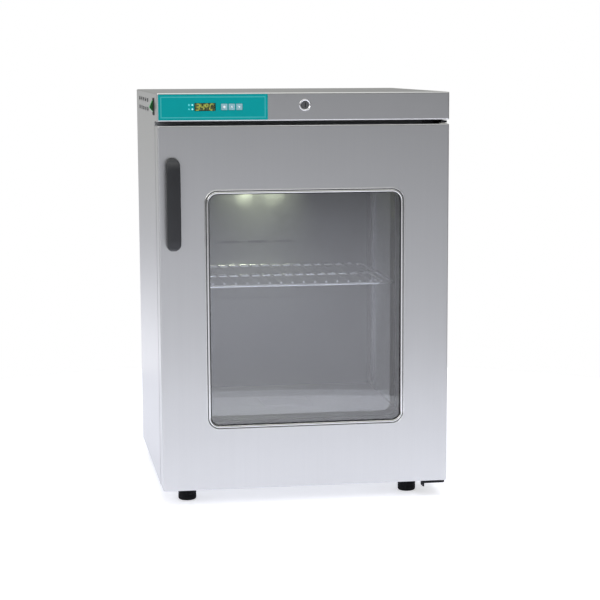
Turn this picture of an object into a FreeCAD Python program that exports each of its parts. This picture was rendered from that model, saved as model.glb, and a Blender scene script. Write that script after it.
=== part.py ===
import FreeCAD, Part
import math
import os

# Blanket warming cabinet: a free-standing insulated stainless cabinet with a glazed door.
# Millimetres. +X right, +Y to the back, +Z up. The origin is on the floor, in the middle of
# the overall width and of the overall depth, which counts the handle.

V = FreeCAD.Vector
X_AXIS, Y_AXIS, Z_AXIS = V(1, 0, 0), V(0, 1, 0), V(0, 0, 1)

# ---------------------------------------------------------------- driving dimensions
# Whole cabinet
cabinet_width = 600.0
cabinet_depth = 570.0            # door face to back panel
cabinet_height = 850.0           # floor to top
foot_height = 35.0               # floor to the underside of the base
handle_projection = 32.0

# Sheet metal
outer_sheet = 1.0
liner_sheet = 0.8
outer_fold_radius = 3.0          # outside radius of the folded edges
seam_gap = 0.5                   # between neighbouring panels
fit_gap = 0.2                    # between pieces that are laid in one another

# Fascia and door
fascia_height = 57.0
fascia_gap = 8.0                 # open slot between fascia and door
door_thickness = 56.0
door_lip = 14.0                  # inner panel's folded edge
door_gap = 6.0                   # door back to body front, filled by the gasket

# Chamber
side_wall = 73.0                 # cabinet side to chamber side
rear_wall = 30.0                 # cabinet back to liner back
base_wall = 60.0                 # underside of the base to the liner bottom
plenum_height = 65.0             # liner bottom to the top of the floor panel
duct_depth = 33.0                # liner back to the face of the duct panel
electronics_bay = 85.0           # cabinet top to the electronics tray
ceiling_wall = 40.0              # ceiling to the electronics tray
base_upturn = 25.0               # height of the base pan's edges
tray_upturn = 12.0               # height of the electronics tray's sides
back_return = 14.0               # wrapper's fold that the back panel is screwed to
liner_flange = 14.0              # round the chamber liner's mouth
liner_corner_radius = 10.0
front_frame_depth = 8.0
sill_drop = 2.0                  # front frame's inner edge below the chamber floor

# Window in the door
window_from_side = 92.5          # door's side edges to the bright trim
window_from_top = 129.0          # door's top edge to the trim
window_from_bottom = 126.0
window_radius = 27.0
trim_width = 9.0
trim_proud = 3.0
seal_width = 4.0
outer_pane = 5.0
inner_pane = 4.0
pane_lap = 6.0                   # how far a pane reaches behind its opening
reveal_wall = 5.0

# Handle
handle_width = 28.5
handle_length = 188.0
handle_from_left = 14.5
handle_below_door_top = 64.0
handle_grip = 12.0               # thickness of the bow
handle_foot_length = 25.0        # each end, where the bow meets the door
handle_bow = 3.0                 # the middle stands this much further out than the ends

# Control strip
strip_width = 221.0
strip_height = 51.5
strip_from_left = 2.8
strip_thickness = 0.8
display_row_from_top = 28.0      # cabinet top to the centre of the display and keys
display_from_left = 75.5
display_width = 42.5
display_height = 15.5
lamp_from_left = 71.3
lamp_spacing = 8.4
lamp_diameter = 3.0
key_size = 12.6
key_pitch = 15.2
first_key_from_left = 135.5
key_count = 3
key_proud = 1.0
key_travel = 0.8
key_gap = 0.3
key_stem = 5.0                   # square stem behind each key cap
board_setback = 10.0             # strip's front face to the control board
board_thickness = 1.6
board_post_diameter = 5.0

# Lock
lock_from_top = 25.0
lock_ring_diameter = 24.5
lock_ring_proud = 3.0
lock_barrel_diameter = 19.0
lock_barrel_length = 25.0
lock_plug_diameter = 15.0
lock_square = 8.0                # plug's square end, which the cam sits on
lock_nut_across = 24.0
lock_nut_thickness = 5.0
lock_cam_length = 50.0
lock_cam_width = 16.0
lock_cam_thickness = 2.5
lock_swing_gap = 3.0             # open width left round the cam
keeper_left = 40.0               # keeper's reach to each side of the lock
keeper_right = 70.0
keeper_margin = 12.0             # keeper in front of and behind the cam
keeper_thickness = 2.0
running_gap = 0.05               # radial gap of a shaft in its bore

# Rocker switch on the left side
switch_bezel_height = 35.0
switch_bezel_width = 25.0
switch_bezel_thickness = 2.0
switch_from_top = 28.0
switch_behind_seam = 15.0        # body's front edge to the switch's centre
switch_body_depth = 20.0
rocker_proud = 9.0               # ridge of the rocker beyond the cabinet's side
rocker_width = 18.0
rocker_half_height = 13.0
rocker_end_gap = 1.4             # above and below the rocker, for its swing
rocker_ridge = 3.0               # flat along the rocker's middle
rocker_drum_diameter = 18.0
rocker_tilt = 10.0               # degrees from the middle, pressed on
switch_wall = 1.6

# Side vents
vent_length = 34.0
vent_height = 8.0
vent_pitch = 58.0
vent_row_pitch = 19.0
vent_count = 5
vent_top_from_top = 18.0
vent_from_front = 238.0          # door face to the first slot's centre

# Hinges
hinge_from_side = 10.0
hinge_from_face = 14.0
hinge_pin_diameter = 8.0
hinge_plate = 4.0
hinge_nose_radius = 8.0
hinge_flange = 14.0
hinge_root = 3.0                 # thickness of the top bracket's flange
bracket_rear_reach = 70.0        # bottom bracket behind the body's front
bracket_tab = 3.0
bracket_tab_drop = 7.0
top_bracket_width = 40.0
bottom_bracket_width = 48.0
bush_wall = 2.0
bush_flange = 1.2
bush_length = 14.0
hinge_running_space = 2.0        # door edge to hinge plate

# Gasket
gasket_inset = 14.0
gasket_width = 13.0
gasket_clear = 0.4               # to the front frame, with the door shut

# Feet
foot_diameter = 38.0
foot_from_left = 57.0
foot_from_right = 70.0           # further in, clear of the bottom hinge bracket
foot_from_front = 78.0
foot_from_back = 60.0
foot_edge_radius = 7.0
foot_stem_diameter = 10.0
foot_stem_length = 26.0
foot_clear = 0.4                 # top of the foot to the base pan
foot_nut_diameter = 18.0
foot_nut_height = 10.0

# Wire shelf
shelf_height = 417.0             # base pan's underside to the centre of the wires
shelf_side_gap = 6.5             # side rods to the shelf supports
shelf_from_face = 108.0          # door face to the front rod
shelf_back_gap = 19.0            # duct panel to the back rod
shelf_rod = 7.0
shelf_bend_radius = 12.0
shelf_wire = 4.5
shelf_wire_pitch = 24.0
shelf_wire_edge = 20.0           # least distance from the outer wires to the side rods

# Shelf supports
pilaster_width = 18.0
pilaster_depth = 7.0
pilaster_sheet = 1.0
pilaster_slot_pitch = 25.0
pilaster_slot = 9.0
pilaster_slot_height = 4.0
pilaster_end_gap = 12.0
front_pilaster_from_face = 160.0
rear_pilaster_from_face = 420.0
clip_height = 10.0
clip_reach = 12.0
clip_width = 12.0
clip_sheet = 1.2
shelf_seat_gap = 0.3             # shelf's side rods to the clips

# Chamber lamps
ceiling_lamp_from_left = 272.0   # cabinet's left side to the middle of the pair
ceiling_lamp_spacing = 68.0
ceiling_lamp_diameter = 34.0
ceiling_lamp_from_duct = 50.0
ceiling_lamp_body = 26.0
ceiling_lamp_flange = 3.0
ceiling_lamp_rise = 21.0         # lamp body above the ceiling

# Fan and heater
fan_diameter = 150.0
fan_height = 32.0
fan_blade_count = 14
fan_blade = 1.2
fan_hub_diameter = 24.0
fan_shaft_diameter = 8.0
fan_shaft_grip = 28.0            # shaft below the chamber liner's bottom
fan_sheet = 1.5                  # wheel's disc and ring
fan_hub_height = 14.0
fan_above_liner = 12.0
fan_ring_width = 22.0
fan_blade_angle = 30.0
fan_from_face = 300.0
motor_diameter = 84.0
motor_height = 44.0
motor_flange_width = 110.0
motor_flange = 2.5
heater_ring_diameter = 200.0
heater_tube = 8.5
heater_gap_angle = 30.0
heater_leg_drop = 30.0           # legs below the chamber liner's bottom

# Air slots
air_slot_length = 44.0
air_slot_height = 5.0
air_slot_column_pitch = 66.0
air_slot_row_pitch = 130.0
air_slot_side = 25.0             # least distance from the slots to the panel's sides
air_slot_end = 80.0              # chamber floor to the lowest row
floor_slot_count = 9
floor_slot_pitch = 13.0
floor_slot_length = 110.0
floor_slot_width = 6.0

# Temperature probe
probe_diameter = 6.0
probe_reach = 27.0               # into the chamber
probe_collar_diameter = 12.0
probe_from_side = 60.0
probe_below_ceiling = 70.0

# Power supply and safety thermostat, both on the electronics tray
supply_length = 150.0
supply_depth = 98.0
supply_height = 40.0
supply_x = 15.0
supply_from_back = 92.0
bay_sheet = 1.5                  # folded metal of both
thermostat_width = 40.0
thermostat_depth = 25.0
thermostat_height = 38.0
thermostat_x = -150.0
thermostat_from_back = 150.0

# Back panel's vents
back_vent_length = 34.0
back_vent_height = 6.0
back_vent_pitch = 50.0
back_vent_row_pitch = 16.0
back_vent_from_top = 30.0
back_vent_left = 160.0           # first column to the left of the middle
back_screw_inset = 8.0
back_screw_end = 30.0            # first and last screws from the panel's ends

# Screws
screw_head_diameter = 8.0
screw_head_height = 2.2
screw_diameter = 4.0
screw_length = 10.0

# Mains inlet
inlet_flange_width = 31.0
inlet_flange_height = 25.0
inlet_flange = 2.0
inlet_body_width = 27.0
inlet_body_height = 19.6
inlet_socket_width = 24.2
inlet_socket_height = 16.4
inlet_socket_depth = 15.0
inlet_body_depth = 22.0
inlet_from_side = 90.0
inlet_from_top = 42.0

# ---------------------------------------------------------------- places worked out from them
left_x, right_x = -cabinet_width / 2, cabinet_width / 2
door_face_y = handle_projection - (cabinet_depth + handle_projection) / 2
door_back_y = door_face_y + door_thickness
body_front_y = door_back_y + door_gap
back_y = door_face_y + cabinet_depth
base_z, top_z = foot_height, cabinet_height
fascia_bottom_z = top_z - fascia_height
door_top_z = fascia_bottom_z - fascia_gap
door_bottom_z = base_z

chamber_half = cabinet_width / 2 - side_wall
liner_front_y = body_front_y + front_frame_depth
liner_back_y = back_y - rear_wall
duct_face_y = liner_back_y - duct_depth
liner_bottom_z = base_z + base_wall
chamber_floor_z = liner_bottom_z + plenum_height
tray_z = top_z - electronics_bay
ceiling_z = tray_z - ceiling_wall
sill_z = chamber_floor_z - sill_drop
frame_top_z = fascia_bottom_z - seam_gap
inner_side = cabinet_width / 2 - outer_sheet - fit_gap

window_width = cabinet_width - 2 * window_from_side
window_height = door_top_z - door_bottom_z - window_from_top - window_from_bottom
window_x = 0.0
window_z = door_bottom_z + window_from_bottom + window_height / 2
sight_width = window_width - 2 * trim_width
sight_height = window_height - 2 * trim_width
sight_radius = window_radius - trim_width

pane_y = door_face_y + outer_sheet + fit_gap
inner_pane_y = door_back_y - outer_sheet - fit_gap - inner_pane
hinge_x = right_x - hinge_from_side
hinge_y = door_face_y + hinge_from_face
top_plate_z = door_top_z + hinge_running_space
bottom_plate_z = door_bottom_z - hinge_running_space - hinge_plate

strip_z = fascia_bottom_z + (fascia_height - strip_height) / 2
display_z = top_z - display_row_from_top
display_x = left_x + display_from_left + display_width / 2
board_y = door_face_y - strip_thickness + board_setback
lock_z = top_z - lock_from_top
cam_y = door_face_y + lock_barrel_length + fit_gap
switch_y = body_front_y + switch_behind_seam
switch_z = top_z - switch_from_top
rocker_axis_x = left_x + 4.0

fan_y = door_face_y + fan_from_face
fan_bottom_z = liner_bottom_z + fan_above_liner
shelf_z = base_z + shelf_height
rod_z = shelf_z - (shelf_rod + shelf_wire) / 2
shelf_width = 2 * (chamber_half - pilaster_depth - shelf_side_gap) - shelf_rod
shelf_wire_count = int((shelf_width - 2 * shelf_wire_edge) / shelf_wire_pitch) + 1
shelf_front_y = door_face_y + shelf_from_face
shelf_back_y = duct_face_y - shelf_back_gap
foot_y_places = (door_face_y + foot_from_front, back_y - foot_from_back)
foot_x_places = (left_x + foot_from_left, right_x - foot_from_right)
pilaster_y_places = (door_face_y + front_pilaster_from_face, door_face_y + rear_pilaster_from_face)


# ---------------------------------------------------------------- shapes used by several pieces
def block(x0, x1, y0, y1, z0, z1):
    return Part.makeBox(x1 - x0, y1 - y0, z1 - z0, V(x0, y0, z0))


def rod(start, direction, length, diameter):
    return Part.makeCylinder(diameter / 2, length, start, direction)


def along(solid, axis):
    """The solid's edges that run along an axis."""
    found = []
    for edge in solid.Edges:
        if isinstance(edge.Curve, Part.Line) and abs(edge.tangentAt(edge.FirstParameter).dot(axis)) > 0.999:
            found.append(edge)
    return found


def rounded_block(x0, x1, y0, y1, z0, z1, axis, radius):
    """A block whose four edges along one axis are rounded."""
    solid = block(x0, x1, y0, y1, z0, z1)
    return solid.makeFillet(radius, along(solid, axis))


def upright_plate(centre_x, centre_z, width, height, radius, y0, y1):
    """A plate in the plane of the door, with round corners."""
    return rounded_block(centre_x - width / 2, centre_x + width / 2, y0, y1,
                         centre_z - height / 2, centre_z + height / 2, Y_AXIS, radius)


def upright_ring(centre_x, centre_z, width, height, radius, wall, y0, y1):
    """A ring in the plane of the door: a plate less a smaller one."""
    outer = upright_plate(centre_x, centre_z, width, height, radius, y0, y1)
    inner = upright_plate(centre_x, centre_z, width - 2 * wall, height - 2 * wall,
                          max(radius - wall, 0.5), y0 - 1, y1 + 1)
    return outer.cut(inner)


def join(first, *others):
    return first.multiFuse(list(others)).removeSplitter() if others else first


def group(solids):
    return Part.makeCompound(list(solids))


def save(name, shape):
    shape.exportStep("parts/" + name + ".step")


# ---------------------------------------------------------------- body shell
def side_vents():
    """Cutters for the vent slots, right through both sides."""
    slots = []
    for row in range(2):
        z = top_z - vent_top_from_top - row * vent_row_pitch
        for column in range(vent_count):
            y = door_face_y + vent_from_front + column * vent_pitch
            slot = block(left_x - 1, right_x + 1, y - vent_length / 2, y + vent_length / 2,
                         z - vent_height / 2, z + vent_height / 2)
            slots.append(slot.makeFillet(vent_height / 2 - 0.1, along(slot, X_AXIS)))
    return group(slots)


def switch_box(x0, x1, extra):
    """The switch's box between two places across the side, larger by extra all round."""
    half_y = rocker_width / 2 + switch_wall + extra
    half_z = rocker_half_height + rocker_end_gap + switch_wall + extra
    return block(x0, x1, switch_y - half_y, switch_y + half_y, switch_z - half_z, switch_z + half_z)


def outer_wrapper():
    """Both sides and the top, folded from one sheet, with a narrow return at the back."""
    y_end = back_y - outer_sheet
    outside = block(left_x, right_x, body_front_y, y_end, base_z, top_z)
    top_edges = [e for e in along(outside, Y_AXIS) if e.CenterOfMass.z > base_z + 1]
    outside = outside.makeFillet(outer_fold_radius, top_edges)
    inside = block(left_x + outer_sheet, right_x - outer_sheet, body_front_y - 1,
                   y_end - outer_sheet, base_z - 1, top_z - outer_sheet)
    top_edges = [e for e in along(inside, Y_AXIS) if e.CenterOfMass.z > base_z + 1]
    inside = inside.makeFillet(outer_fold_radius - outer_sheet, top_edges)
    opening = block(left_x + back_return, right_x - back_return, y_end - 2 * outer_sheet, y_end + 1,
                    base_z - 1, top_z - back_return)
    switch_hole = switch_box(left_x - 1, left_x + switch_body_depth, fit_gap)
    return outside.cut([inside, opening, side_vents(), switch_hole, screw_bores(0)])


def foot_bores(diameter, z0, z1):
    return group(rod(V(x, y, z0), Z_AXIS, z1 - z0, diameter) for x in foot_x_places for y in foot_y_places)


def base_pan():
    """Shallow tray that carries the cabinet, with upturned edges inside the wrapper."""
    y0, y1 = body_front_y, back_y - 2 * outer_sheet - fit_gap
    outside = block(-inner_side, inner_side, y0, y1, base_z, base_z + base_upturn)
    inside = block(-inner_side + outer_sheet, inner_side - outer_sheet, y0 + outer_sheet,
                   y1 - outer_sheet, base_z + outer_sheet, base_z + base_upturn + 1)
    return outside.cut([inside, foot_bores(foot_stem_diameter + 1, base_z - 1, base_z + 5), screw_bores(0)])


def back_screw_places():
    """Points just outside the back panel, round its edge."""
    rows = 4
    span = top_z - base_z - 2 * back_screw_end
    places = []
    for row in range(rows):
        z = base_z + back_screw_end + row * span / (rows - 1)
        places += [V(left_x + back_screw_inset, back_y, z), V(right_x - back_screw_inset, back_y, z)]
    return places


def inlet_place():
    return right_x - inlet_from_side, top_z - inlet_from_top


def back_panel():
    """Flat rear sheet with vent slots level with the electronics, and the inlet's cut-out."""
    sheet = block(left_x + 1, right_x - 1, back_y - outer_sheet, back_y, base_z + 1, top_z - 1)
    cutters = [screw_bores(0)]
    for row in range(3):
        for column in range(5):
            x = -back_vent_left + column * back_vent_pitch
            z = top_z - back_vent_from_top - row * back_vent_row_pitch
            cutters.append(block(x - back_vent_length / 2, x + back_vent_length / 2, back_y - 3, back_y + 1,
                                 z - back_vent_height / 2, z + back_vent_height / 2))
    x, z = inlet_place()
    half_w, half_h = inlet_body_width / 2 + fit_gap, inlet_body_height / 2 + fit_gap
    cutters.append(block(x - half_w, x + half_w, back_y - 3, back_y + 1, z - half_h, z + half_h))
    return sheet.cut(cutters)


def bracket_screw_places():
    """Points under the bottom hinge bracket: two side by side, and one behind them."""
    middle = hinge_x + hinge_nose_radius - bottom_bracket_width / 2
    edge = 10.0
    side = bottom_bracket_width / 2 - edge
    front_y, rear_y = body_front_y + 2 * edge, body_front_y + bracket_rear_reach - edge - 4
    level = base_z - hinge_plate
    return [V(middle - side, front_y, level), V(middle + side, front_y, level), V(middle, rear_y, level)]


def screw_bores(extra):
    """Cutters for the shanks of the back panel's and the bottom bracket's screws."""
    size, reach = screw_diameter + 2 * extra, screw_length + 2 * extra
    bores = [rod(p - Y_AXIS * reach, Y_AXIS, reach + 1, size) for p in back_screw_places()]
    bores += [rod(p - Z_AXIS, Z_AXIS, reach + 1, size) for p in bracket_screw_places()]
    return group(bores)


def pan_screw(place, direction):
    """Domed screw: its head sits on the point, its shank runs back from it."""
    shank = rod(place - direction * screw_length, direction, screw_length, screw_diameter)
    head = rod(place, direction, screw_head_height, screw_head_diameter)
    rim = [e for e in head.Edges if abs((e.CenterOfMass - place).dot(direction) - screw_head_height) < 0.01]
    return join(head.makeFillet(screw_head_height * 0.7, rim), shank)


def fascia_panel():
    """Folded box strip across the top front. Its bottom return has a slot for the lock's cam."""
    y_end = body_front_y - seam_gap
    outside = block(left_x, right_x, door_face_y, y_end, fascia_bottom_z, top_z)
    front = [e for e in outside.Edges if e.BoundBox.YMax < door_face_y + 0.1]
    front += [e for e in along(outside, Y_AXIS) if e.CenterOfMass.z > top_z - 1]
    outside = outside.makeFillet(outer_fold_radius, front)
    inside = block(left_x + outer_sheet, right_x - outer_sheet, door_face_y + outer_sheet, y_end + 1,
                   fascia_bottom_z + outer_sheet, top_z - outer_sheet)
    front = [e for e in inside.Edges if e.BoundBox.YMax < door_face_y + outer_sheet + 0.1]
    inside = inside.makeFillet(outer_fold_radius - outer_sheet, front)
    hole_half = max(display_height, key_size) / 2 + 1
    board_hole = block(left_x + lamp_from_left - 2 * lamp_diameter, key_x(key_count - 1) + key_size,
                       door_face_y - 1, door_face_y + 3, display_z - hole_half, display_z + hole_half)
    lock_hole = rod(V(0, door_face_y - 1, lock_z), Y_AXIS, 4, lock_barrel_diameter + 2 * fit_gap)
    return outside.cut([inside, board_hole, lock_hole, cam_slot(fascia_bottom_z, 2 * outer_sheet)])


def cam_slot(level, depth):
    """Slot that lets the cam swing down past a level, from its side position to straight down."""
    drop = lock_z - level
    reach = math.sqrt(lock_cam_length ** 2 - drop ** 2) + lock_cam_width / 2
    return block(-lock_cam_width / 2 - lock_swing_gap, reach + lock_swing_gap,
                 cam_y - lock_swing_gap, cam_y + lock_cam_thickness + lock_swing_gap,
                 level - depth, level + depth)


def front_frame():
    """Moulded frame round the chamber's mouth, which the door gasket closes on."""
    outside = block(-inner_side, inner_side, body_front_y, liner_front_y,
                    base_z + base_upturn + fit_gap, frame_top_z)
    mouth = rounded_block(-chamber_half, chamber_half, body_front_y - 1, liner_front_y + 1,
                          sill_z, ceiling_z, Y_AXIS, liner_corner_radius)
    return outside.cut(mouth)


def liner_box(grow, y0, y1):
    return rounded_block(-chamber_half - grow, chamber_half + grow, y0, y1,
                         liner_bottom_z - grow, ceiling_z + grow, Y_AXIS, liner_corner_radius + grow)


def ceiling_lamp_places():
    middle = V(left_x + ceiling_lamp_from_left, duct_face_y - ceiling_lamp_from_duct, ceiling_z)
    half_spacing = X_AXIS * (ceiling_lamp_spacing / 2)
    return [middle - half_spacing, middle + half_spacing]


def heater_leg_places():
    angle = math.radians(heater_gap_angle / 2)
    radius = heater_ring_diameter / 2
    return [V(s * radius * math.sin(angle), fan_y + radius * math.cos(angle), 0) for s in (-1, 1)]


def probe_place():
    return V(chamber_half - probe_from_side, duct_face_y, ceiling_z - probe_below_ceiling)


def chamber_liner():
    """Five-sided stainless inner box with a flange round its mouth."""
    outside = liner_box(liner_sheet, liner_front_y, liner_back_y + liner_sheet)
    flange = liner_box(liner_flange, liner_front_y, liner_front_y + liner_sheet)
    inside = liner_box(0, liner_front_y - 1, liner_back_y)
    cutters = [inside]
    for place in ceiling_lamp_places():
        cutters.append(rod(place - Z_AXIS * 2, Z_AXIS, 6, ceiling_lamp_body + 2 * fit_gap))
    cutters.append(rod(V(0, fan_y, liner_bottom_z - 3), Z_AXIS, 6, fan_shaft_diameter + 4))
    for place in heater_leg_places():
        cutters.append(rod(place + Z_AXIS * (liner_bottom_z - 3), Z_AXIS, 6, heater_tube + 2 * fit_gap))
    cutters.append(rod(probe_place(), Y_AXIS, duct_depth + 5, probe_diameter + 2 * fit_gap))
    return outside.fuse(flange).cut(cutters)


def insulation():
    """Mineral wool slabs between the shell and the liner: sides, back, ceiling and base."""
    y0, y1 = liner_front_y + liner_sheet + fit_gap, back_y - 3 * outer_sheet - 2 * fit_gap
    z0, z1 = base_z + outer_sheet + fit_gap, tray_z - fit_gap
    liner_half = chamber_half + liner_sheet + fit_gap
    shell_half = inner_side - outer_sheet - fit_gap
    pieces = [block(s * liner_half if s > 0 else -shell_half, shell_half if s > 0 else -liner_half,
                    y0, y1, z0, z1) for s in (-1, 1)]
    back_start = liner_back_y + liner_sheet + fit_gap
    pieces.append(block(-liner_half, liner_half, back_start, y1, z0, z1))
    ceiling = block(-liner_half, liner_half, y0, back_start, ceiling_z + liner_sheet + fit_gap, z1)
    for place in ceiling_lamp_places():
        ceiling = ceiling.cut(rod(place, Z_AXIS, ceiling_lamp_rise + 4, ceiling_lamp_body + 2))
    pieces.append(ceiling)
    base = block(-liner_half, liner_half, y0, back_start, z0, liner_bottom_z - liner_sheet - fit_gap)
    pocket = rod(V(0, fan_y, z0 - 1), Z_AXIS, base_wall, motor_diameter + 12)
    legs = [rod(p + Z_AXIS * (z0 - 1), Z_AXIS, base_wall, heater_tube + 4) for p in heater_leg_places()]
    half = motor_flange_width / 2 + 5
    flange = block(-half, half, fan_y - half, fan_y + half,
                   liner_bottom_z - liner_sheet - motor_flange - 4 * fit_gap, liner_bottom_z)
    pieces.append(base.cut([pocket, flange] + legs))
    nuts = foot_bores(foot_nut_diameter + 4, z0 - 1, z0 + foot_stem_length)
    probe = rod(probe_place(), Y_AXIS, duct_depth + rear_wall, probe_diameter + 4)
    return group(piece.cut([nuts, probe, screw_bores(0.5)]) for piece in pieces)


def electronics_tray():
    """Sheet over the ceiling insulation, with low upturned sides."""
    y0, y1 = liner_front_y + fit_gap, back_y - 2 * outer_sheet - fit_gap
    outside = block(-inner_side, inner_side, y0, y1, tray_z, tray_z + tray_upturn)
    inside = block(-inner_side + outer_sheet, inner_side - outer_sheet, y0 - 1, y1 + 1,
                   tray_z + outer_sheet, tray_z + tray_upturn + 1)
    return outside.cut(inside)


# ---------------------------------------------------------------- controls
def key_x(index):
    return left_x + first_key_from_left + index * key_pitch


def control_strip():
    """Thin printed strip on the fascia, with cut-outs for display, lamps and keys."""
    x0 = left_x + strip_from_left
    y0 = door_face_y - strip_thickness
    strip = rounded_block(x0, x0 + strip_width, y0, door_face_y, strip_z, strip_z + strip_height, Y_AXIS, 1.5)
    cutters = [upright_plate(display_x, display_z, display_width + 2 * fit_gap,
                             display_height + 2 * fit_gap, 1.0, y0 - 1, door_face_y + 1)]
    for index in range(key_count):
        size = key_size + 2 * key_gap
        cutters.append(upright_plate(key_x(index), display_z, size, size, 1.5, y0 - 1, door_face_y + 1))
    for place in status_lamp_places():
        cutters.append(rod(place - Y_AXIS * 2, Y_AXIS, 5, lamp_diameter + 2 * fit_gap))
    return strip.cut(cutters)


def status_lamp_places():
    x, y = left_x + lamp_from_left, door_face_y - strip_thickness
    return [V(x, y, display_z + lamp_spacing / 2), V(x, y, display_z - lamp_spacing / 2)]


def status_lamps():
    lamps = []
    for place in status_lamp_places():
        stem = rod(place, Y_AXIS, board_y - place.y, lamp_diameter)
        dome = Part.makeSphere(lamp_diameter / 2, place)
        lamps.append(join(stem, dome.common(rod(place - Y_AXIS * 0.7, Y_AXIS, 2, lamp_diameter + 1))))
    return group(lamps)


def display_window():
    y0 = door_face_y - strip_thickness
    return upright_plate(display_x, display_z, display_width, display_height, 0.8, y0 - 0.1, y0 + 1.6)


def display_module():
    """Digit block between the window and the board."""
    y0 = door_face_y + 1.2
    return block(display_x - display_width / 2 + 1, display_x + display_width / 2 - 1, y0, board_y,
                 display_z - display_height / 2 + 0.5, display_z + display_height / 2 - 0.5)


def key_stem_y():
    """Back end of a key's stem, halfway to the board."""
    return (door_face_y + board_y) / 2


def control_board():
    """Upright board behind the strip, with a small switch behind each key, on four posts."""
    margin = 12.0
    x0, x1 = left_x + lamp_from_left - margin, key_x(key_count - 1) + 2 * margin
    z0, z1 = display_z - display_height / 2 - margin, display_z + display_height / 2 + margin
    board = block(x0, x1, board_y, board_y + board_thickness, z0, z1)
    extras = []
    half = key_stem / 2 + 0.5
    for index in range(key_count):
        x = key_x(index)
        extras.append(block(x - half, x + half, key_stem_y() + key_travel + key_gap, board_y + 0.5,
                            display_z - half, display_z + half))
    inset = board_post_diameter
    for x in (x0 + inset, x1 - inset):
        for z in (z0 + inset, z1 - inset):
            start = V(x, door_face_y + outer_sheet, z)
            extras.append(rod(start, Y_AXIS, board_y - door_face_y, board_post_diameter))
    connector = block(x1 - 3 * margin, x1 - margin, board_y + 1, board_y + 8, z0 + 4, z0 + 14)
    return join(board, connector, *extras)


def key(index):
    """Square key cap with a stem that reaches back to its switch."""
    y0 = door_face_y - strip_thickness - key_proud
    cap = upright_plate(key_x(index), display_z, key_size, key_size, 1.2, y0, door_face_y + 2)
    rim = [e for e in cap.Edges if e.BoundBox.YMax < y0 + 0.05]
    half = key_stem / 2
    stem = block(key_x(index) - half, key_x(index) + half, door_face_y + 1, key_stem_y(),
                 display_z - half, display_z + half)
    return join(cap.makeFillet(0.4, rim), stem)


def power_supply():
    """Open-frame supply in a folded case, on the electronics tray."""
    x0, y1, z0 = supply_x - supply_length / 2, back_y - supply_from_back, tray_z + outer_sheet
    x1, y0 = x0 + supply_length, y1 - supply_depth
    floor_z = z0 + bay_sheet
    case = block(x0, x1, y0, y1, z0, z0 + supply_height)
    hollow = block(x0 + bay_sheet, x1 - bay_sheet, y0 + bay_sheet, y1 - bay_sheet,
                   floor_z, z0 + supply_height + 1)
    space = 10.0
    coil_diameter = 34.0
    transformer = block(x0 + space, (x0 + x1) / 2, y0 + space, y1 - 2 * space,
                        floor_z, z0 + supply_height - space)
    coil = rod(V(x1 - coil_diameter, (y0 + y1) / 2, floor_z), Z_AXIS, supply_height - 1.5 * space, coil_diameter)
    return join(case.cut(hollow), transformer, coil)


def safety_thermostat():
    """Over-temperature cut-out on a small folded bracket."""
    x0, x1 = thermostat_x - thermostat_width / 2, thermostat_x + thermostat_width / 2
    y, z0 = back_y - thermostat_from_back, tray_z + outer_sheet
    foot = block(x0, x1, y, y + thermostat_depth, z0, z0 + bay_sheet)
    wall = block(x0, x1, y, y + bay_sheet, z0, z0 + thermostat_height)
    margin = 5.0
    body = block(x0 + margin, x1 - margin, y + bay_sheet, y + thermostat_depth - margin,
                 z0 + 2 * margin, z0 + thermostat_height - margin)
    spindle = rod(V(thermostat_x, y - 2 * margin, z0 + thermostat_height / 2), Y_AXIS, 2 * margin + 1, margin)
    return join(foot, wall, body, spindle)


# ---------------------------------------------------------------- lock
def lock_housing():
    """Bright ring on the fascia and the threaded barrel behind it."""
    front = door_face_y - lock_ring_proud
    ring = rod(V(0, front, lock_z), Y_AXIS, lock_ring_proud, lock_ring_diameter)
    rim = [e for e in ring.Edges if abs(e.BoundBox.YMax - front) < 0.01]
    ring = ring.makeFillet(1.6, rim)
    barrel = rod(V(0, door_face_y - 0.5, lock_z), Y_AXIS, lock_barrel_length + 0.5, lock_barrel_diameter)
    bore = rod(V(0, front - 1, lock_z), Y_AXIS, lock_barrel_length + lock_ring_proud + 2,
               lock_plug_diameter + 2 * running_gap)
    return join(ring, barrel).cut(bore)


def lock_nut():
    """Hexagon nut that clamps the lock to the fascia's sheet."""
    y0 = door_face_y + outer_sheet
    radius = lock_nut_across / math.sqrt(3)
    points = []
    for corner in range(7):
        angle = math.radians(60 * corner)
        points.append(V(radius * math.cos(angle), y0, lock_z + radius * math.sin(angle)))
    prism = Part.Face(Part.makePolygon(points)).extrude(Y_AXIS * lock_nut_thickness)
    return prism.cut(rod(V(0, y0 - 1, lock_z), Y_AXIS, lock_nut_thickness + 2,
                         lock_barrel_diameter + 2 * running_gap))


def lock_plug():
    """Turning core with its keyhole, and the square end that carries the cam."""
    front = door_face_y - lock_ring_proud + 1.0
    core = rod(V(0, front, lock_z), Y_AXIS, cam_y - front - 0.1, lock_plug_diameter)
    half = lock_square / 2
    square = block(-half, half, cam_y - 0.5, cam_y + lock_cam_thickness + 3, lock_z - half, lock_z + half)
    slot_half, slot_depth = lock_plug_diameter * 0.3, 12.0
    keyhole = block(-0.8, 0.8, front - 1, front + slot_depth, lock_z - slot_half, lock_z + slot_half)
    return join(core, square).cut(keyhole)


def lock_cam():
    """Flat lever on the plug. It points sideways when the lock is open."""
    half = lock_square / 2 + running_gap
    y1 = cam_y + lock_cam_thickness
    lever = block(0, lock_cam_length - lock_cam_width / 2, cam_y, y1,
                  lock_z - lock_cam_width / 2, lock_z + lock_cam_width / 2)
    ends = [rod(V(x, cam_y, lock_z), Y_AXIS, lock_cam_thickness, lock_cam_width)
            for x in (0, lock_cam_length - lock_cam_width / 2)]
    hole = block(-half, half, cam_y - 1, y1 + 1, lock_z - half, lock_z + half)
    return join(lever, *ends).cut(hole)


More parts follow.
